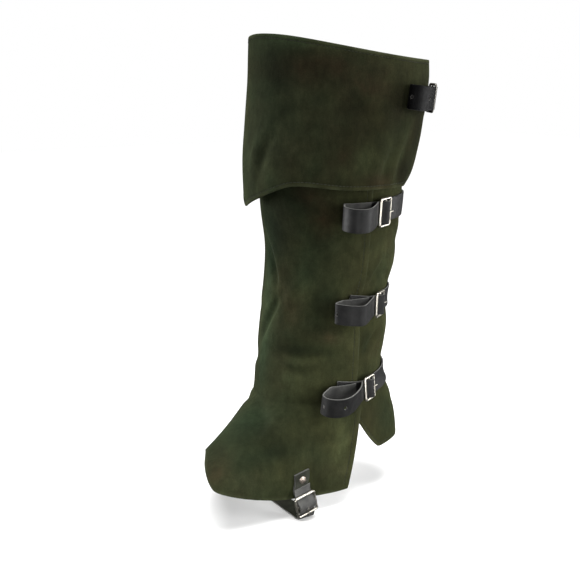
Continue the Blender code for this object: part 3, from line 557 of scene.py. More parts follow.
def normal_of(base, angle, level):
    step_angle, step_level = 1.0, 0.01
    low = np.minimum(level, 2 - step_level)
    around = base(angle + step_angle, low) - base(angle - step_angle, low)
    down = base(angle, low + step_level) - base(angle, np.maximum(low - step_level, 0))
    return unit(np.cross(down, around))


def lifted(base, angle, level, lift, relief):
    """Points lift millimetres outside a smooth form, with its folds and its relief."""
    points = base(angle, level)
    if base is sleeve_base:
        lift = lift - fold_depth(angle, points[..., 2])
    if relief:
        lift = lift + relief(angle, points[..., 2])
    return points + normal_of(base, angle, level) * np.asarray(lift)[..., None]


def sleeve(angle, level, lift=0.0, relief=None):
    return lifted(sleeve_base, angle, level, lift, relief)


def cuff(angle, level, lift=0.0, relief=None):
    return lifted(cuff_base, angle, level, lift, relief)


def bisect(low, high, is_below, steps=24):
    """Where is_below stops being true, between two arrays."""
    for _ in range(steps):
        middle = (low + high) / 2
        below = is_below(middle)
        low, high = np.where(below, middle, low), np.where(below, high, middle)
    return (low + high) / 2


def level_at(surface, angle, height):
    """The levels at which the surface has these heights."""
    angle, height = np.broadcast_arrays(angle, height)
    end = 2.0 if surface is sleeve else 1.0
    return bisect(np.zeros(angle.shape), np.full(angle.shape, end),
                  lambda level: surface(angle, level)[..., 2] > height)


# ---- Mesh helpers ----

def to_frame(points):
    """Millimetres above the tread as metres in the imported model's frame."""
    return (np.asarray(points) + (0, 0, TREAD)) * MM


def linked(name, data):
    item = bpy.data.objects.new(name, data)
    bpy.context.scene.collection.objects.link(item)
    return item


def add_mesh(name, points, faces, materials, slots=None, attributes=()):
    mesh = bpy.data.meshes.new(name)
    mesh.from_pydata(to_frame(points).tolist(), [], faces)
    for material in materials:
        mesh.materials.append(material)
    if slots is not None:
        mesh.polygons.foreach_set("material_index", slots)
    for label, values in attributes:
        layer = mesh.attributes.new(label, "FLOAT", "POINT")
        layer.data.foreach_set("value", np.asarray(values, np.float32))
    mesh.update()
    mesh.shade_smooth()
    mesh.set_sharp_from_angle(angle=SHARP_ANGLE)
    return linked(name, mesh)


def seat_on_frame(item, slot, *nodes):
    """The piece rides on the one body and stands for these nodes, whose CAD parts go hidden; the slot is
    not used.
    """
    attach(item, "root")
    if nodes:
        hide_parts(*nodes)
    return item


def graded(length, step=GRID_STEP):
    """Places from 0 to length: close together near both ends, then step apart."""
    near = np.concatenate([EDGE_OFFSETS, np.arange(EDGE_OFFSETS[-1] + EDGE_STEP, EDGE_REACH, EDGE_STEP)])
    middle = length - 2 * EDGE_REACH
    count = max(2, round(middle / step))
    inner = EDGE_REACH + middle * np.arange(count + 1) / count
    return np.concatenate([near, inner, length - near[::-1]])


def grid_normals(points):
    """Outward normals of a grid whose columns run round and whose rows run down."""
    return unit(np.cross(np.gradient(points, axis=1), np.gradient(points, axis=0)))


def slab(points, outer, inner):
    """A closed wall round a grid: its corners, faces, and 0, 1 or 2 for outside, inside
    and cut edge."""
    normals = grid_normals(points)
    corners = [(points + normals * lift[..., None]).reshape(-1, 3) for lift in (outer, inner)]
    index = np.arange(outer.size).reshape(outer.shape)
    quads = np.stack([index[:-1, :-1], index[:-1, 1:], index[1:, 1:], index[1:, :-1]],
                     axis=-1).reshape(-1, 4)
    outline = np.concatenate([index[:-1, 0], index[-1, :-1], index[:0:-1, -1], index[0, :0:-1]])
    after = np.roll(outline, -1)
    rim = np.stack([outline, after, after + outer.size, outline + outer.size], axis=1)
    faces = [quads, quads[:, ::-1] + outer.size, rim]
    slots = np.concatenate([np.full(len(group), i) for i, group in enumerate(faces)])
    return np.concatenate(corners), np.concatenate(faces).tolist(), slots


def circle(side, other, sides):
    """Corners of a circle of radius 1 in the plane of two directions."""
    turn = (2 * math.pi / sides * np.arange(sides))[:, None]
    return side * np.cos(turn) + other * np.sin(turn)


def ring_faces(rings, sides, closed=False):
    """Faces of a tube through these rings of corners, with flat ends unless it is closed."""
    faces = [(r * sides + k, r * sides + (k + 1) % sides,
              (r + 1) % rings * sides + (k + 1) % sides, (r + 1) % rings * sides + k)
             for r in range(rings if closed else rings - 1) for k in range(sides)]
    if not closed:
        faces += [tuple(range(sides))[::-1], tuple(range((rings - 1) * sides, rings * sides))]
    return faces


def shifted(faces, start):
    return [tuple(int(start + k) for k in face) for face in faces]


def lengths_along(line):
    return np.concatenate([[0], np.cumsum(np.linalg.norm(np.diff(line, axis=0), axis=1))])


def values_at(values, run, places):
    """The values of a line, known at the lengths in run, at other lengths."""
    return np.stack([np.interp(places, run, values[:, k]) for k in range(3)], axis=1)


def distance_to(points, line):
    """How far each point lies from a line of points."""
    best = np.full(points.shape[:-1], np.inf)
    for start, end in zip(line[:-1], line[1:]):
        run = end - start
        away = points - start
        share = np.clip(away @ run / max(run @ run, 1e-9), 0, 1)
        best = np.minimum(best, np.linalg.norm(away - share[..., None] * run, axis=-1))
    return best


def wall_share(distance, rounding, flat):
    """How much of the wall's thickness is left this far from its cut edge."""
    near = 1 - np.clip(distance / rounding, 0, 1)
    return flat + (1 - flat) * np.sqrt(1 - near ** 2)


# ---- Suede panels ----

# How a grid is turned so that each of its sides comes first.
FROM_SIDE = {"front": lambda grid: grid, "rear": lambda grid: grid[::-1],
             "top": lambda grid: grid.swapaxes(0, 1),
             "hem": lambda grid: grid.swapaxes(0, 1)[::-1]}


def seam_line(points, normals, away, seam):
    """Points and normals of the line that runs inset millimetres inside one edge."""
    turned = FROM_SIDE[seam.side]
    points, normals, field = turned(points), turned(normals), turned(away[seam.side])
    ends = ("top", "hem") if seam.side in ("front", "rear") else ("front", "rear")
    from_ends = turned(np.minimum(away[ends[0]], away[ends[1]]))
    line = []
    for j in range(field.shape[1]):
        k = int(np.argmax(field[:, j] >= seam.inset))
        if k == 0 or from_ends[k, j] < seam.inset * SEAM_END:
            continue
        share = (seam.inset - field[k - 1, j]) / (field[k, j] - field[k - 1, j])
        line.append((points[k - 1, j] * (1 - share) + points[k, j] * share, normals[k, j]))
    return np.swapaxes(line, 0, 1)


def stitch_frames(line, normals):
    """Middle, direction and outward normal of each stitch along a line."""
    run = lengths_along(line)
    count = int(run[-1] // STITCH_PITCH)
    places = (np.arange(count) + 0.5) * run[-1] / count
    half = STITCH_LENGTH / 2
    tangent = unit(values_at(line, run, places + half) - values_at(line, run, places - half))
    normal = values_at(normals, run, places)
    normal = unit(normal - tangent * (normal * tangent).sum(1, keepdims=True))
    return values_at(line, run, places), tangent, normal


def stitches(name, frames, material):
    """Short rounded threads with both ends drawn down into the suede."""
    middle, tangent, normal = (np.concatenate(group)[:, None, None] for group in zip(*frames))
    along, thick, drop = np.array(STITCH_RINGS).T[:, :, None, None]
    points = (middle + tangent * along * STITCH_LENGTH / 2 + normal * drop
              + STITCH_RADIUS * thick * circle(np.cross(normal, tangent), normal, STITCH_SIDES))
    faces = ring_faces(len(STITCH_RINGS), STITCH_SIDES)
    corners = len(STITCH_RINGS) * STITCH_SIDES
    faces = [face for k in range(len(middle)) for face in shifted(faces, k * corners)]
    item = add_mesh(name, points.reshape(-1, 3), faces, [material])
    return seat_on_frame(item, "suede")


def patched(points, patches, oval):
    """Shade and tone at each point, the hide's own tone with painted shade and painted light, and its
    warmth.
    """
    height = points[..., 2]
    front, back = oval.front(height), oval.back(height)
    ahead = (back - front) / 2 - points[..., 1]
    angle = np.degrees(np.arctan2(points[..., 0] / oval.half(height), ahead / ((front + back) / 2)))
    tone, warmth = (sum(getattr(patch, value) * nearness(patch, angle, height)
                        for patch in patches) for value in ("tone", "warmth"))
    return np.clip(tone, *SHADE_AND_TONE_RANGE), np.clip(warmth, -1, 1)


def panel(name, points, seams, extra_lines, patches, looks):
    """A suede panel over a grid of its outer face, with its rows of stitches."""
    away = {side: distance_to(points, turned(points)[0]) for side, turned in FROM_SIDE.items()}
    nearest = np.minimum.reduce(list(away.values()))
    normals = grid_normals(points)
    lines = [seam_line(points, normals, away, seam) for seam in seams] + extra_lines
    dent = -sum(GROOVE_DEPTH * np.exp(-(distance_to(points, line) / GROOVE_WIDTH) ** 2)
                for line, _ in lines)
    wear = np.exp(-nearest / WEAR_AND_HIGHLIGHT_REACH)
    for seam in seams:
        band = (away[seam.side] - seam.inset / 2) / (seam.inset / 3)
        dent = dent + seam.puff * np.exp(-band ** 2)
        rub = np.clip((seam.inset - away[seam.side]) / RUB_AND_HIGHLIGHT_FADE, 0, 1)
        wear = np.maximum(wear, seam.rub * rub)
    loss = SUEDE / 2 * (1 - wall_share(nearest, CUT_ROUNDING, CUT_FLAT))
    corners, faces, slots = slab(points, dent - loss, loss - SUEDE)
    tone, warmth = patched(points, *patches)
    shades = [(label, np.tile(values.ravel(), 2)) for label, values in
              (("wear", wear), ("tone", tone), ("warmth", warmth))]
    item = add_mesh(name + "_suede", corners, faces,
                    [looks["suede"], looks["flesh"], looks["cut_suede"]], slots, shades)
    seat_on_frame(item, "suede", name)
    frames = [stitch_frames(*line) for line in lines]
    return item, stitches(name + "_stitches", frames, looks["thread"])


def lap_shift(level):
    """How far back the front panel's free edge runs at this level."""
    height = sleeve_base(LAP_EDGE, np.minimum(level, 1))[..., 2]
    share = np.maximum((LAP_SHIFT_FROM - height) / (LAP_SHIFT_FROM - ANKLE_HEIGHT), 0)
    foot = LAP_SHIFT + (LAP_SHIFT_FOOT - LAP_SHIFT) * np.maximum(level - 1, 0) ** 1.5
    return np.where(level > 1, foot, LAP_SHIFT * share ** 1.3)


def fine_angles(start, end, radius, step=GRID_STEP):
    """A fine grid's angles, as a column, on a form of about this radius."""
    per_degree = math.radians(1) * radius
    return start + graded((end - start) * per_degree, step)[:, None] / per_degree


def sleeve_levels(foot_length):
    """A fine grid's levels, as a row."""
    shaft = RIM_HEIGHT - ANKLE_HEIGHT
    places = graded(shaft + foot_length)
    return np.where(places < shaft, places / shaft, 1 + (places - shaft) / foot_length)[None]


def front_panel(looks):
    angles = fine_angles(FRONT_SEAM, LAP_EDGE, NOMINAL_RADIUS)
    levels = sleeve_levels(FRONT_FOOT)
    pull = np.maximum(0, (angles - LAP_PULL_FROM) / (LAP_EDGE - LAP_PULL_FROM))
    points = sleeve(angles + pull * lap_shift(levels), levels, relief=sleeve_relief)
    return panel("front_panel", points, FRONT_SEAMS, [], (SLEEVE_PATCHES, SLEEVE_OVAL), looks)


def flap_end(angle):
    """The foot level at which the back panel stops."""
    beyond = angle - FLAP_CORNER
    slanted = np.maximum(FLAP_TOP, FLAP_LEVEL + FLAP_SLANT * beyond)
    return np.where(beyond < 0, slanted, np.minimum(FLAP_LEVEL + FLAP_FALL * beyond, 1))


def back_panel(looks):
    angles = fine_angles(BACK_FRONT_EDGE, BACK_SEAM, NOMINAL_RADIUS)
    levels = sleeve_levels(BACK_FOOT)
    levels = np.where(levels > 1, 1 + flap_end(angles) * (levels - 1), levels)
    tuck = UNDERLAP_SINK * np.clip((LAP_EDGE + LAP_SHIFT - angles) / UNDERLAP_FADE, 0, 1)
    points = sleeve(angles, levels, -LAP - tuck, relief=sleeve_relief)
    level = np.linspace(*HEEL_LINE_LEVELS, 60)
    heel_line = (sleeve(HEEL_LINE_ANGLE, level, -LAP, relief=sleeve_relief),
                 normal_of(sleeve_base, HEEL_LINE_ANGLE, level))
    return panel("back_panel", points, BACK_SEAMS, [heel_line], (SLEEVE_PATCHES, SLEEVE_OVAL), looks)


def cuff_shift(angle, level):
    """How far the cuff's two back edges run away from each other at its hem."""
    run = np.maximum(0, (level - FLARE_LEVEL) / (1 - FLARE_LEVEL)) ** FLARE_CURVE
    front = np.maximum(0, (angle - FLARE_FROM) / (CUFF_FRONT_END - FLARE_FROM))
    rear = np.maximum(0, (FLARE_REAR_FROM - angle) / (FLARE_REAR_FROM - CUFF_REAR_END))
    return run * (FLARE_REAR * rear - FLARE_FRONT * front)


def cuff_panel(looks):
    angles = fine_angles(CUFF_REAR_END, CUFF_FRONT_END, CUFF_RADIUS, CUFF_STEP)
    depth = RIM_HEIGHT - CUFF_HEM
    levels = graded(depth)[None] / depth
    points = cuff(angles + cuff_shift(angles, levels), levels, relief=cuff_relief)
    return panel("cuff", points, CUFF_SEAMS, [], (CUFF_PATCHES, CUFF_OVAL), looks)


# ---- A closure's own frame ----

class Seat:
    """The place of a buckle on the sleeve or the cuff: forward, out and up directions."""

    reach, chape_length = FRAME_REACH, CHAPE_LENGTH
    leather, metal = "leather", "nickel"
    surface, under = staticmethod(sleeve), -LAP

    def __init__(self, closure):
        self.closure, self.name = closure, closure.name
        self.width, self.tilt = closure.width, closure.tilt
        if self.name == "cuff":
            self.surface, self.under = cuff, 0.0
            # The cuff's strap and buckle take darker copies of the leather and the nickel: painted shade.
            self.leather, self.metal = "deep_leather", "dull_nickel"
        self.origin = self.on(closure.angle, 0.0)
        rising = self.on(closure.angle, self.width / 2) - self.on(closure.angle, -self.width / 2)
        self.forward = unit(self.on(closure.angle - 3, 0.0) - self.on(closure.angle + 3, 0.0))
        self.up = unit(rising - self.forward * (rising @ self.forward))
        self.out = unit(np.cross(self.up, self.forward))

    def on(self, angle, across, lift=0.0):
        """Points over the surface, across millimetres above the strap's middle."""
        height = (self.closure.height + self.closure.rise * behind_buckle(self.closure, angle) + across)
        return self.surface(angle, level_at(self.surface, angle, height), lift)

    def over(self, forward, across, lift):
        """Points over the surface, this far forward of the bar."""
        return self.on(self.angle_at(forward), across, lift)

    def at(self, forward, out, across=0.0):
        forward, out, across = (np.asarray(v, float)[..., None]
                                for v in np.broadcast_arrays(forward, out, across))
        return self.origin + self.forward * forward + self.out * out + self.up * across

    def angle_at(self, forward):
        """The angles round the leg that lie this far forward of the bar."""
        forward = np.asarray(forward, float)
        middle = np.full(forward.shape, self.closure.angle)
        return bisect(middle - 90, middle + 90, lambda angle: (
            (self.on(angle, 0.0) - self.origin) @ self.forward > forward), 20)


def arc(centre, radius, start, end, step=7.5):
    """Points of an arc in the closure's plane; angles in degrees from forward to out."""
    count = max(1, math.ceil(abs(end - start) / step))
    turn = np.radians(np.linspace(start, end, count + 1))
    return np.array(centre) + radius * np.stack([np.cos(turn), np.sin(turn)], axis=1)


def crossing(low, high, radii):
    """The direction between two wires and how much more steeply a strap crosses, in degrees."""
    along, up = high[0] - low[0], high[1] - low[1]
    return (math.degrees(math.atan2(up, along)), math.degrees(math.asin(radii / math.hypot(along, up))))


def woven_run(reach):
    """The strap's middle line under the rear wire, over the bar and under the front wire,
    and the direction, in degrees, in which it falls from the bar."""
    rear, bar, front = (-reach, REAR_WIRE_LIFT), (0.0, BAR_LIFT), (reach, FRONT_WIRE_LIFT)
    side = WIRE_RADIUS + SEAM_GAP + STRAP_THICK / 2
    middle = BAR_RADIUS + CHAPE_THICK + 2.5 * SEAM_GAP + STRAP_THICK / 2
    climb = sum(crossing(rear, bar, side + middle))
    line, turn = crossing(bar, front, side + middle)
    fall = line - turn
    run = np.concatenate([arc(rear, side, STRAP_ENTERS, climb - 90),
                          arc(bar, middle, climb + 90, fall + 90),
                          arc(front, side, fall - 90, STRAP_EXITS)])
    return run, fall


def smooth_path(points, per_span):
    """Points of smooth curves through these points; the curves run along the last axis
    but one."""
    last = points.shape[-2] - 1
    path = []
    for i in range(last):
        before, a, b, after = (points[..., k, :] for k in (max(i - 1, 0), i, i + 1, min(i + 2, last)))
        for t in np.arange(per_span) / per_span:
            path.append(a + 0.5 * ((b - before) * t
                                   + (2 * before - 5 * a + 4 * b - after) * t * t
                                   + (3 * a - before - 3 * b + after) * t ** 3))
    return np.stack(path + [points[..., last, :]], axis=-2)


def three(width):
    """Below, on and above a strap's middle, as a column."""
    return np.array([-width / 2, 0, width / 2])[:, None]


def strap_lines(seat):
    """The strap's lower edge, middle and upper edge, from its rear end to its tip, and how
    many points come before the bar."""
    closure, across = seat.closure, three(seat.width)
    lying = seat.under + LEATHER_GAP + closure.slack + STRAP_THICK / 2
    angles = np.linspace(closure.strap_end, seat.angle_at(-FRAME_REACH - STRAP_LEAVES), 50)
    line = seat.on(angles[None], across, lying)
    run = woven_run(seat.reach)[0]
    woven = seat.at(run[:, 0], run[:, 1], across)
    far = seat.over(np.linspace(FAR_WALL_START, TIP_REACH, 16)[None], across, FAR_WALL_LIFT)
    forward, out = np.array(closure.loop).T
    loose = seat.at(forward, out + closure.lean * across / (seat.width / 2), across)
    free = smooth_path(np.concatenate([woven[:, -1:], loose, far[:, :1]], axis=1), 14)
    lines = np.concatenate([line, woven, free[:, 1:-1], far], axis=1)
    return lines, line.shape[1] + int(np.argmax(run[:, 1]))


def resample(lines, step):
    """The same lines with points step apart along the middle one."""
    run = lengths_along(lines[1])
    places = np.linspace(0, run[-1], round(run[-1] / step) + 1)
    return np.stack([values_at(line, run, places) for line in lines])


def soften(lines, passes):
    for _ in range(passes):
        middle = (lines[:, :-2] + 2 * lines[:, 1:-1] + lines[:, 2:]) / 4
        lines = np.concatenate([lines[:, :1], middle, lines[:, -1:]], axis=1)
    return lines


def ribbon(lines, width, thickness):
    """A strap's wall over its three lines."""
    near = np.array(RIBBON_OFFSETS)
    inner = np.linspace(RIBBON_EDGE, width - RIBBON_EDGE, 7)
    share = np.concatenate([near, inner, width - near[::-1]]) / width * 2 - 1
    edge = (1 - np.abs(share)) * width / 2
    run = lengths_along(lines[1])
    ends = np.minimum(run, run[-1] - run)[:, None]
    half = wall_share(np.minimum(edge, ends), LEATHER_ROUNDING, LEATHER_FLAT) * thickness / 2
    low, middle, high = lines[:, :, None]
    share = share[:, None]
    points = (low * share * (share - 1) / 2 + middle * (1 - share ** 2) + high * share * (share + 1) / 2)
    return slab(points, half, -half)


def punched(item, cutters):
    """The piece with holes where the cutters are; the cutters go."""
    for cutter in cutters:
        hole = item.modifiers.new("hole", "BOOLEAN")
        hole.operation = "DIFFERENCE"
        hole.solver = "EXACT"
        hole.material_mode = "TRANSFER"
        hole.object = cutter
    graph = bpy.context.evaluated_depsgraph_get()
    mesh = bpy.data.meshes.new_from_object(item.evaluated_get(graph))
    old = item.data
    item.modifiers.clear()
    item.data = mesh
    bpy.data.meshes.remove(old)
    for cutter in cutters:
        bpy.data.objects.remove(cutter)
    mesh.set_sharp_from_angle(angle=SHARP_ANGLE)
    return item


def round_ring(axis):
    """Corners of a circle of radius 1 square to an axis."""
    side = unit(np.cross(axis, ANY_WAY))
    return circle(side, np.cross(axis, side), ROUND_SIDES)


def cutter(middle, ring, axis, length, material):
    """A plain prism: a ring of corners drawn out along its axis."""
    points = np.concatenate([middle + ring - axis * length / 2, middle + ring + axis * length / 2])
    return add_mesh("cutter", points, ring_faces(2, len(ring)), [material])


def leather_piece(name, seat, lines, width, thickness, cutters, looks):
    corners, faces, slots = ribbon(lines, width, thickness)
    item = add_mesh(name + "_leather", corners, faces,
                    [looks[seat.leather], looks["leather_back"], looks["cut_leather"]], slots)
    return seat_on_frame(punched(item, cutters), "strap_leather", name)


def strap_piece(seat, lines, bar, punches, looks):
    """A leather strap with its tongue hole and its further holes."""
    name, cut = seat.name + "_strap", looks["cut_leather"]
    bar_place = lengths_along(lines[1])[bar]
    lines = soften(resample(lines, STRAP_STEP), 4)
    lean = math.radians(TONGUE_HOLE_LEAN)
    axis = seat.out * math.cos(lean) - seat.forward * math.sin(lean)
    cutters = [cutter(seat.at(-TONGUE_HOLE_BACK, TONGUE_HOLE_LIFT),
                      TONGUE_HOLE_RADIUS * round_ring(axis), axis, CUTTER_LENGTH, cut)]
    run = lengths_along(lines[1])
    normals = grid_normals(lines.swapaxes(0, 1))[:, 1]
    for place in punches:
        k = int(np.argmin(np.abs(run - bar_place - place)))
        cutters.append(cutter(lines[1, k], PUNCH_RADIUS * round_ring(normals[k]), normals[k],
                              PUNCH_LENGTH, cut))
    leather_piece(name, seat, lines, seat.width, STRAP_THICK, cutters, looks)


def chape_piece(seat, looks):
    """The short strap doubled round the bar, with its slot for the tongue."""
    name = seat.name + "_chape"
    lower = LEATHER_GAP + CHAPE_THICK / 2
    upper = lower + CHAPE_THICK + SEAM_GAP
    wrap = BAR_RADIUS + SEAM_GAP + CHAPE_THICK / 2
    under_wire = WIRE_RADIUS + STRAP_THICK + CHAPE_THICK / 2 + 2.5 * SEAM_GAP
    fall = woven_run(seat.reach)[1]
    turn = np.concatenate([
        arc((0, BAR_LIFT), wrap, CHAPE_ENTERS, fall + 90),
        arc((seat.reach, FRONT_WIRE_LIFT), under_wire, fall - 90, fall - 80)])
    start, end = seat.reach + CHAPE_START, seat.chape_length
    width = seat.width - 2 * CHAPE_MARGIN
    across = three(width)
    reach = np.linspace(end, start, 14)[None] + 0 * across
    lifted_ends = across + seat.tilt * (reach - start) / (end - start)
    under = seat.over(reach, lifted_ends, lower)
    over = seat.over(reach, lifted_ends, upper)[:, ::-1]
    around = seat.at(turn[:, 0], turn[:, 1], across)
    lines = soften(resample(np.concatenate([under, around, over], axis=1), CHAPE_STEP), 3)
    corners = np.array([(1, 1), (-1, 1), (-1, -1), (1, -1)]) * (SLOT_WIDTH / 2, SLOT_LENGTH / 2)
    slot = cutter(seat.at(0.2, BAR_LIFT), corners @ (seat.up, seat.forward), seat.out,
                  SLOT_DEPTH, looks["cut_leather"])
    leather_piece(name, seat, lines, width, CHAPE_THICK, [slot], looks)


# ---- Metal ----

def tube(points, radii, closed=False, sides=16):
    """Corners and faces of a round wire along these points; an open one has round ends."""
    points = np.asarray(points, float)
    radii = np.broadcast_to(radii, len(points))
    if closed:
        tangents = unit(np.roll(points, -1, axis=0) - np.roll(points, 1, axis=0))
    else:
        tangents = unit(np.gradient(points, axis=0))
        turn = np.radians((30, 60, 85))
        first, last = tangents[0] * radii[0], tangents[-1] * radii[-1]
        points = np.concatenate([points[0] - first * np.sin(turn[::-1, None]), points,
                                 points[-1] + last * np.sin(turn[:, None])])
        radii = np.concatenate([radii[0] * np.cos(turn[::-1]), radii, radii[-1] * np.cos(turn)])
        tangents = np.concatenate([[tangents[0]] * 3, tangents, [tangents[-1]] * 3])
    side = np.cross(tangents[0], (0.31, 0.52, 0.79))
    corners = []
    for point, radius, tangent in zip(points, radii, tangents):
        side = unit(side - tangent * (side @ tangent))
        corners.append(point + radius * circle(side, np.cross(tangent, side), sides))
    return np.concatenate(corners), ring_faces(len(points), sides, closed)


def metal_piece(name, ending, corners, faces, material):
    item = add_mesh(name + ending, corners, faces, [material])
    return seat_on_frame(item, "nickel", name)


def buckle_piece(seat, looks):
    """A rectangular wire frame with a bar across its middle."""
    tilt = math.atan2(FRONT_WIRE_LIFT - REAR_WIRE_LIFT, 2 * seat.reach)
    half_height = seat.width / 2 + FRAME_PLAY + WIRE_RADIUS

    def placed(along, across):
        return seat.at(along * math.cos(tilt), BAR_LIFT + along * math.sin(tilt), across)

    outline = np.concatenate([
        arc((side * (seat.reach - FRAME_CORNER), end * (half_height - FRAME_CORNER)),
            FRAME_CORNER, start, start + 90, 9)
        for side, end, start in ((1, 1, 0), (-1, 1, 90), (-1, -1, 180), (1, -1, 270))])
    corners, faces = tube(placed(outline[:, 0], outline[:, 1]), WIRE_RADIUS, closed=True)
    bar_corners, bar_faces = tube(placed(0.0, half_height * np.linspace(-1, 1, 9)), BAR_RADIUS)
    metal_piece(seat.name + "_buckle", "_frame", np.concatenate([corners, bar_corners]),
                faces + shifted(bar_faces, len(corners)), looks[seat.metal])


def tongue_piece(seat, looks):
    """A pin hooked round the bar, tapering to where it rests on the rear wire."""
    hook = BAR_RADIUS + SEAM_GAP + TONGUE_RADIUS
    rest = REAR_WIRE_LIFT + WIRE_RADIUS + SEAM_GAP + TONGUE_RADIUS
    path = arc((0, BAR_LIFT), hook, HOOK_START, HOOK_END, 12)
    ahead = np.array([path[-1], (-2.4, BAR_LIFT + hook - 0.1), (1.5 - seat.reach, rest + 0.5),
                      (-TONGUE_TIP - seat.reach, rest)])
    path = np.concatenate([path[:-1], smooth_path(ahead, 6)])
    taper = TONGUE_RADIUS * (1 - TONGUE_TAPER * np.linspace(0, 1, len(path)) ** 2)
    metal_piece(seat.name + "_tongue", "_pin", *tube(seat.at(path[:, 0], path[:, 1]), taper),
                looks[seat.metal])


def rivet_piece(name, point, lift, looks):
    """A low domed head with a fine step round its rim, on leather whose outer face is lift
    above point(0)."""
    foot = point(lift + SEAM_GAP)
    out = unit(foot - point(0.0))
    profile = [(share * RIVET_RADIUS, height) for share, height in RIVET_RIM]
    profile += [(DOME_RADIUS * math.sin(turn), DOME_FOOT + (RIVET_HEIGHT - DOME_FOOT) * math.cos(turn))
                for turn in np.radians(np.arange(90, 0, -15))]
    points = [foot + out * height + radius * round_ring(out) for radius, height in profile]
    faces = ring_faces(len(points), ROUND_SIDES)[:-1]
    last, top = (len(points) - 1) * ROUND_SIDES, len(points) * ROUND_SIDES
    faces += [(top, last + k, last + (k + 1) % ROUND_SIDES) for k in range(ROUND_SIDES)]
    points = np.concatenate(points + [[foot + out * RIVET_HEIGHT]])
    metal_piece(name, "_head", points, faces, looks["rivet"])


def fastening(seat, lines, bar, punches, chape_point, strap_point, strap_lift, looks):
    """One buckle with its leather, and the rivets that hold the leather."""
    strap_piece(seat, lines, bar, punches, looks)
    chape_piece(seat, looks)
    buckle_piece(seat, looks)
    tongue_piece(seat, looks)
    layers = LEATHER_GAP + 2 * CHAPE_THICK + SEAM_GAP
    rivet_piece(seat.name + "_chape_rivet", chape_point, layers, looks)
    rivet_piece(seat.name + "_strap_rivet", strap_point, strap_lift, looks)


def closure_pieces(closure, looks):
    seat = Seat(closure)
    end = closure.strap_end - STRAP_RIVET_TURN
    fastening(seat, *strap_lines(seat), PUNCHES[seat.name],
              lambda lift: seat.over(CHAPE_RIVET, 0.7 * seat.tilt, lift),
              lambda lift: seat.on(end, 0.0, seat.under + lift),
              LEATHER_GAP + 1.4 * closure.slack + STRAP_THICK, looks)


# ---- The stirrup ----

def beside_sole(side, along, height, lift=0.0):
    """Points over the sleeve's outer (1) or inner (-1) face, at these places and heights."""
    along, height = np.broadcast_arrays(np.asarray(along, float), height)

    def is_ahead(turn):
        angle = turn * side
        return sleeve(angle, level_at(sleeve, angle, height))[..., 1] < along

    angle = side * bisect(np.full(along.shape, SIDE_FROM), np.full(along.shape, SIDE_TO), is_ahead, 20)
    return sleeve(angle, level_at(sleeve, angle, height), lift)


class StirrupSeat:
    """The buckle's place beside the sole: its forward direction is up the leg."""

    name, leather, metal = "stirrup", "worn_leather", "nickel"
    width, tilt, reach, chape_length = STIRRUP_WIDTH, 0.0, STIRRUP_REACH, STIRRUP_TAB
    origin = np.array(STIRRUP_BAR)
    forward = unit(np.array(STIRRUP_RUN))
    out = unit(np.array((1, 0, 0)) - forward * forward[0])
    up = np.cross(forward, out)
    at = Seat.at

    def over(self, forward, across, lift):
        """Points over the sleeve, or nearer the bar over the frame's own plane."""
        low = self.at(forward, lift, across)
        share = step_up((forward - self.reach - TAB_LEAVES) / TAB_FADE)
        along = low[..., 1] + (STIRRUP_ALONG + across - low[..., 1]) * share
        high = beside_sole(1, along, np.maximum(low[..., 2], LOWEST_SEAT), lift)
        return stack(low[..., 0] + (high[..., 0] - low[..., 0]) * share, along, low[..., 2])


def stirrup_lines(seat):
    """From the free end on the tab, through the buckle and under the sole, to the inside."""
    across = three(seat.width)
    tip = np.linspace(STIRRUP_TIP, seat.reach + TIP_LEAVES, 6)[None] + 0 * across
    lying = LEATHER_GAP + 2 * CHAPE_THICK + 2 * SEAM_GAP + STRAP_THICK / 2
    free = seat.over(tip, across, lying)
    run = woven_run(seat.reach)[0][::-1]
    woven = seat.at(run[:, 0], run[:, 1], across)
    along = woven[:, -1:, 1]
    climb = beside_sole(-1, along, np.array([STIRRUP_CLIMB]), STIRRUP_INNER_LIFT + STRAP_THICK / 2)
    floor_height = STIRRUP_FLOOR + STRAP_THICK / 2

    def bend(centre, start, end):
        turn = np.radians(np.linspace(start, end, 14))
        return stack(centre + STIRRUP_BEND * np.cos(turn), along,
                     floor_height + STIRRUP_BEND + STIRRUP_BEND * np.sin(turn))

    outer = woven[:, -1:, 0] - STIRRUP_BEND
    inner = climb[:, :1, 0] + STIRRUP_BEND
    below = stack(outer + (inner - outer) * np.array([0.2, 0.4, 0.6, 0.8]), along, floor_height)
    upright = stack(climb[:, :1, 0], along, STIRRUP_UPRIGHT)
    lines = np.concatenate([free, woven, bend(outer, -20, -90), below, bend(inner, -90, -170),
                            upright, climb], axis=1)
    return lines, free.shape[1] + int(np.argmax(run[:, 1]))


def stirrup_pieces(looks):
    seat = StirrupSeat()
    fastening(seat, *stirrup_lines(seat), (),
              lambda lift: beside_sole(1, STIRRUP_ALONG, STIRRUP_RIVET, lift),
              lambda lift: beside_sole(-1, seat.origin[1], STIRRUP_RIVET + 1, lift),
              STIRRUP_RIVET_LIFT, looks)


# ---- Materials ----

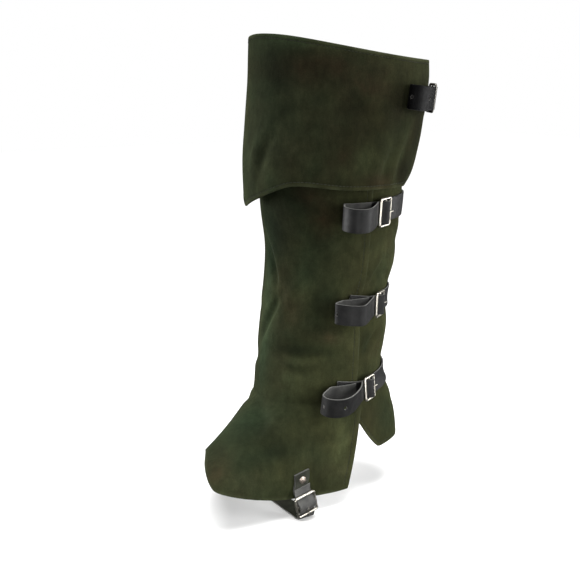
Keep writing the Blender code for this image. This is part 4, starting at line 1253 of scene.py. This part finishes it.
class Shader:
    """A material's node tree, and short ways to add to it."""

    def __init__(self, name, roughness, metallic=0.0):
        self.material = bpy.data.materials.new(name)
        self.material.use_nodes = True
        self.tree = self.material.node_tree
        self.main = self.tree.nodes["Principled BSDF"]
        self.place = self.node("TexCoord", ())["Object"]
        self.set(Roughness=roughness, Metallic=metallic)

    def node(self, kind, inputs, **settings):
        """The outputs of a new node; its inputs come in order, or by place or name."""
        made = self.tree.nodes.new("ShaderNode" + kind)
        for name, value in settings.items():
            setattr(made, name, value)
        for key, value in (inputs if isinstance(inputs, dict) else dict(enumerate(inputs))).items():
            self.feed(made.inputs[key], value)
        return made.outputs

    def feed(self, socket, value):
        if isinstance(value, bpy.types.NodeSocket):
            self.tree.links.new(value, socket)
        elif socket.type == "RGBA":
            socket.default_value = (*value[:3], 1.0)
        else:
            socket.default_value = value

    def set(self, **inputs):
        for name, value in inputs.items():
            self.feed(self.main.inputs[name.replace("_", " ")], value)

    def noise(self, size, detail=3.0, roughness=0.5, stretch=1.0, shift=0.0):
        """Noise whose blotches are about size millimetres across, from about 0 to 1, and
        stretch times as many to the millimetre up and down."""
        place = self.node("Mapping", {"Vector": self.place, "Scale": (1.0, 1.0, stretch),
                                      "Location": (shift, shift * 0.7, shift * 1.3)})
        return self.node("TexNoise", {"Vector": place["Vector"], "Scale": 1 / (size * MM),
                                      "Detail": detail, "Roughness": roughness})["Fac"]

    def spread(self, value, low, high, to_low=0.0, to_high=1.0):
        return self.node("MapRange", (value, low, high, to_low, to_high))["Result"]

    def mix(self, share, first, second, kind="MIX"):
        return self.node("Mix", {0: share, 6: first, 7: second}, data_type="RGBA",
                         blend_type=kind, clamp_factor=True)[2]

    def grey(self, value):
        return self.node("CombineColor", (value, value, value))["Color"]

    def times(self, colour, value):
        return self.mix(1.0, colour, self.grey(value), "MULTIPLY")

    def maths(self, operation, first, second):
        return self.node("Math", (first, second), operation=operation)["Value"]

    def along(self, direction, low, high):
        """0 to 1 between two places, in millimetres, along a direction of the object."""
        place = self.node("VectorMath", (self.place, direction), operation="DOT_PRODUCT")
        return self.spread(place["Value"], low * MM, high * MM)

    def attribute(self, name):
        return self.node("Attribute", (), attribute_name=name)["Fac"]

    def two_tone(self, value, low, high, dark, light):
        """The surface's colour: dark where value is low, light where it is high."""
        self.set(Base_Color=self.mix(self.spread(value, low, high), dark, light))

    def bump(self, *layers):
        """Layers of height, each with its depth in millimetres."""
        inputs = {"Strength": 1.0}
        for height, depth in layers:
            inputs.update(Height=height, Distance=depth * MM)
            inputs["Normal"] = self.node("Bump", inputs)["Normal"]
        self.set(Normal=inputs["Normal"])


GREEN = (0.0135, 0.0180, 0.0084)
DEEP_GREEN = (0.0106, 0.0178, 0.0088)
OLIVE = (0.0205, 0.0208, 0.0080)
BROWN = (0.0225, 0.0170, 0.0085)
# The colour of lighter edges: wear, and a painted highlight along the cuff's rim.
RUBBED_AND_LIT = (0.070, 0.076, 0.040)
REAR_WAY = (0.45, 0.85, -0.25)    # from the green front and left to the olive rear


def suede_look(name, brightness, has_wear_and_highlight):
    shader = Shader(name, 0.94)
    spread, noise = shader.spread, shader.noise
    drift = shader.mix(0.5, shader.grey(shader.along(REAR_WAY, -95, 85)), shader.grey(noise(46, 2)))
    colour = shader.mix(spread(drift, 0.3, 0.72), GREEN, OLIVE)
    colour = shader.mix(spread(noise(62, 2, shift=3.1), 0.5, 0.72, 0, 0.4), colour, BROWN)
    blotches = noise(22, 3, 0.55, shift=4.3)
    warmth = shader.attribute("warmth")
    browner = shader.maths("MULTIPLY", spread(warmth, 0, 1), spread(blotches, 0.2, 0.6))
    colour = shader.mix(browner, colour, BROWN)
    colour = shader.mix(spread(warmth, 0, -1, 0, 0.85), colour, DEEP_GREEN)
    # The patches' shade and tone: the hide's own tone with painted shade and painted light.
    tone = shader.maths("MULTIPLY", shader.attribute("tone"), spread(blotches, 0.2, 0.8, 0.7, 1.3))
    fibre = noise(0.7, 4, 0.65, 0.6)
    for shade in (spread(noise(24, 3.5, 0.6, shift=1.7), 0.32, 0.68, 0.72, 1.3),
                  shader.maths("POWER", 2, tone),
                  spread(noise(5, 5, 0.6, 0.5), 0.3, 0.7, 0.82, 1.18),
                  spread(fibre, 0.25, 0.75, 0.72, 1.28)):
        colour = shader.times(colour, shade)
    colour = shader.mix(1.0, colour, (brightness, brightness, brightness), "MULTIPLY")
    # Lighter edges and seam bands: wear, and a painted highlight along the cuff's rim.
    if has_wear_and_highlight:
        rubbed_and_lit = shader.maths("MULTIPLY", spread(shader.attribute("wear"), 0.08, 1, 0, 0.6),
                              spread(noise(26, 2, shift=6.1), 0.38, 0.62, 0.15, 1))
        colour = shader.mix(rubbed_and_lit, colour, RUBBED_AND_LIT)
    shader.bump((noise(4, 4, 0.6, 0.6), 0.5), (fibre, 0.3))
    shader.set(Base_Color=colour, Specular_IOR_Level=0.05, Sheen_Weight=0.06,
               Sheen_Roughness=0.5, Sheen_Tint=(0.55, 0.66, 0.3))
    return shader.material


def fibre_look(name, roughness, detail, noise_roughness, dark, light, depth, shine):
    shader = Shader(name, roughness)
    fibre = shader.noise(0.5, detail, noise_roughness)
    shader.two_tone(fibre, 0.3, 0.7, dark, light)
    shader.bump((fibre, depth))
    shader.set(Specular_IOR_Level=shine)
    return shader.material


def grain(shader, size):
    """Fine leather grain: small cells with soft furrows between them."""
    cells = shader.node("TexVoronoi", {"Vector": shader.place, "Scale": 1 / (size * MM)}, feature="F1")
    return shader.spread(cells["Distance"], 0, 0.8, 1, 0)


def leather_look(name, dark, light, roughness, shine):
    shader = Shader(name, roughness)
    shader.two_tone(shader.noise(9, 5, 0.6), 0.35, 0.75, dark, light)
    rough = shader.spread(shader.noise(3, 4, 0.6), 0.3, 0.7, roughness - 0.06, roughness + 0.08)
    shader.bump((shader.noise(7), 0.16), (grain(shader, 0.9), 0.045), (shader.noise(0.35, 3, 0.6), 0.03))
    shader.set(Roughness=rough, Specular_IOR_Level=shine, Coat_Weight=shine / 8, Coat_Roughness=0.35)
    return shader.material


def metal_look(name, dark, light, roughness):
    shader = Shader(name, roughness, 1.0)
    cloud = shader.noise(2.5, 4, 0.6)
    shader.two_tone(cloud, 0.3, 0.7, dark, light)
    shader.set(Roughness=shader.spread(cloud, 0.3, 0.7, roughness - 0.08, roughness + 0.08))
    shader.bump((shader.noise(1.6), 0.02))
    return shader.material


def all_looks():
    looks = {"suede": suede_look("suede", 1.0, True),
             "flesh": suede_look("suede_flesh_side", 1.15, False),
             "rivet": metal_look("rivet_nickel", (0.26, 0.22, 0.185), (0.42, 0.36, 0.31), 0.42)}
    for make, name, *values in (
            (fibre_look, "cut_suede", 0.95, 4, 0.7, (0.022, 0.027, 0.015),
             (0.055, 0.062, 0.038), 0.25, 0.1),
            (fibre_look, "thread", 0.7, 2, 0.5, (0.012, 0.014, 0.008),
             (0.028, 0.030, 0.017), 0.08, 0.2),
            (fibre_look, "cut_leather", 0.8, 4, 0.7, (0.075, 0.075, 0.070),
             (0.19, 0.19, 0.178), 0.12, 0.5),
            (leather_look, "leather", (0.0085, 0.0085, 0.0085), (0.018, 0.018, 0.0178),
             0.52, 0.12),
            # A darker copy of the leather: painted shade on the cuff's strap.
            (leather_look, "deep_leather", (0.0012, 0.0012, 0.0013), (0.0034, 0.0034, 0.0036),
             0.56, 0.05),
            # A paler leather for the stirrup's strap.
            (leather_look, "worn_leather", (0.0165, 0.0174, 0.0128), (0.0380, 0.0400, 0.0295),
             0.58, 0.09),
            (leather_look, "leather_back", (0.046, 0.046, 0.044), (0.090, 0.089, 0.084),
             0.7, 0.12),
            (metal_look, "nickel", (0.38, 0.36, 0.31), (0.54, 0.51, 0.45), 0.34),
            # A darker copy of the nickel: painted shade on the cuff's buckle.
            (metal_look, "dull_nickel", (0.13, 0.125, 0.112), (0.22, 0.212, 0.19), 0.5)):
        looks[name] = make(name, *values)
    return looks


# ---- Stage ----

CAMERA_PLACE = (702.9, -517.7, 406.0)
CAMERA_TURN, CAMERA_DIP = 57.5, 13.4    # round from the toe's side, and down, in degrees
LENS = 57.0
ROOM = 0.08       # strength of the light from all round
CEILING = 3.6     # strength of the wide light from straight above
FLOOR_HALF = 4000.0
LIGHT_AIM = -20.0    # where all lights point, along Y

# Soft boxes turned so many degrees round the leg from the camera, plus to the right.
Light = namedtuple("Light", "name turn height away size power aim spread", defaults=(180,))
LIGHTS = rows(Light, (
    ("key", 60, 640, 1250, 600, 12.5, 150),
    ("above", 5, 1500, 600, 500, 9, 150),
    ("left_rim", -98, 200, 800, 420, 4, 120, 120),
    ("right_rim", 105, 250, 900, 420, 5, 150),
    ("low_fill", 0, 60, 900, 350, 0.9, 70, 70),
    ("low_right", 50, 110, 900, 350, 0.35, 90, 45),
))


def pointed(item, place, way):
    """Puts a camera or a light at this place and turns it this way."""
    item.location = to_frame(place)
    item.rotation_mode = "QUATERNION"
    item.rotation_quaternion = Vector(way).to_track_quat("-Z", "Y")


def camera():
    data = bpy.data.cameras.new("camera")
    data.lens = LENS
    item = linked("camera", data)
    turn, dip = math.radians(CAMERA_TURN), math.radians(CAMERA_DIP)
    pointed(item, CAMERA_PLACE, (-math.sin(turn) * math.cos(dip),
                                 math.cos(turn) * math.cos(dip), -math.sin(dip)))
    bpy.context.scene.camera = item


def floor():
    shader = Shader("pale_floor", 0.85)
    shader.two_tone(shader.noise(90), 0.3, 0.7, (0.90, 0.90, 0.895), (0.93, 0.93, 0.925))
    points = [(x * FLOOR_HALF, y * FLOOR_HALF, STIRRUP_FLOOR)
              for x, y in ((-1, -1), (1, -1), (1, 1), (-1, 1))]
    item = add_mesh("floor", points, [(0, 1, 2, 3)], [shader.material])
    item.visible_diffuse = item.visible_glossy = False


def background():
    """White behind everything, and a dim room that lights the object from all round."""
    world = bpy.data.worlds.new("studio")
    world.use_nodes = True
    nodes, link = world.node_tree.nodes, world.node_tree.links.new
    room, backdrop = nodes["Background"], nodes.new("ShaderNodeBackground")
    for node, strength in ((room, ROOM), (backdrop, 1.0)):
        node.inputs["Color"].default_value = (1.0, 1.0, 1.0, 1.0)
        node.inputs["Strength"].default_value = strength
    either = nodes.new("ShaderNodeMixShader")
    link(nodes.new("ShaderNodeLightPath").outputs["Is Camera Ray"], either.inputs[0])
    link(room.outputs[0], either.inputs[1])
    link(backdrop.outputs[0], either.inputs[2])
    link(either.outputs[0], nodes["World Output"].inputs["Surface"])
    bpy.context.scene.world = world


def lights():
    sky = bpy.data.lights.new("ceiling", "SUN")
    sky.energy = CEILING
    sky.angle = math.radians(45)
    linked("ceiling", sky)
    for light in LIGHTS:
        data = bpy.data.lights.new(light.name, "AREA")
        data.shape = "DISK"
        data.size = light.size * MM
        data.energy = light.power
        data.spread = math.radians(light.spread)
        side = math.radians(CAMERA_TURN + light.turn)
        place = Vector((light.away * math.sin(side), -light.away * math.cos(side), light.height))
        pointed(linked(light.name, data), place, Vector((0, LIGHT_AIM, light.aim)) - place)


def main():
    looks = all_looks()
    front, front_thread = front_panel(looks)
    back, back_thread = back_panel(looks)
    top, top_thread = cuff_panel(looks)
    for closure in CLOSURES:
        closure_pieces(closure, looks)
    stirrup_pieces(looks)
    camera()
    floor()
    background()
    lights()
    bpy.context.scene.view_settings.view_transform = "Standard"


main()
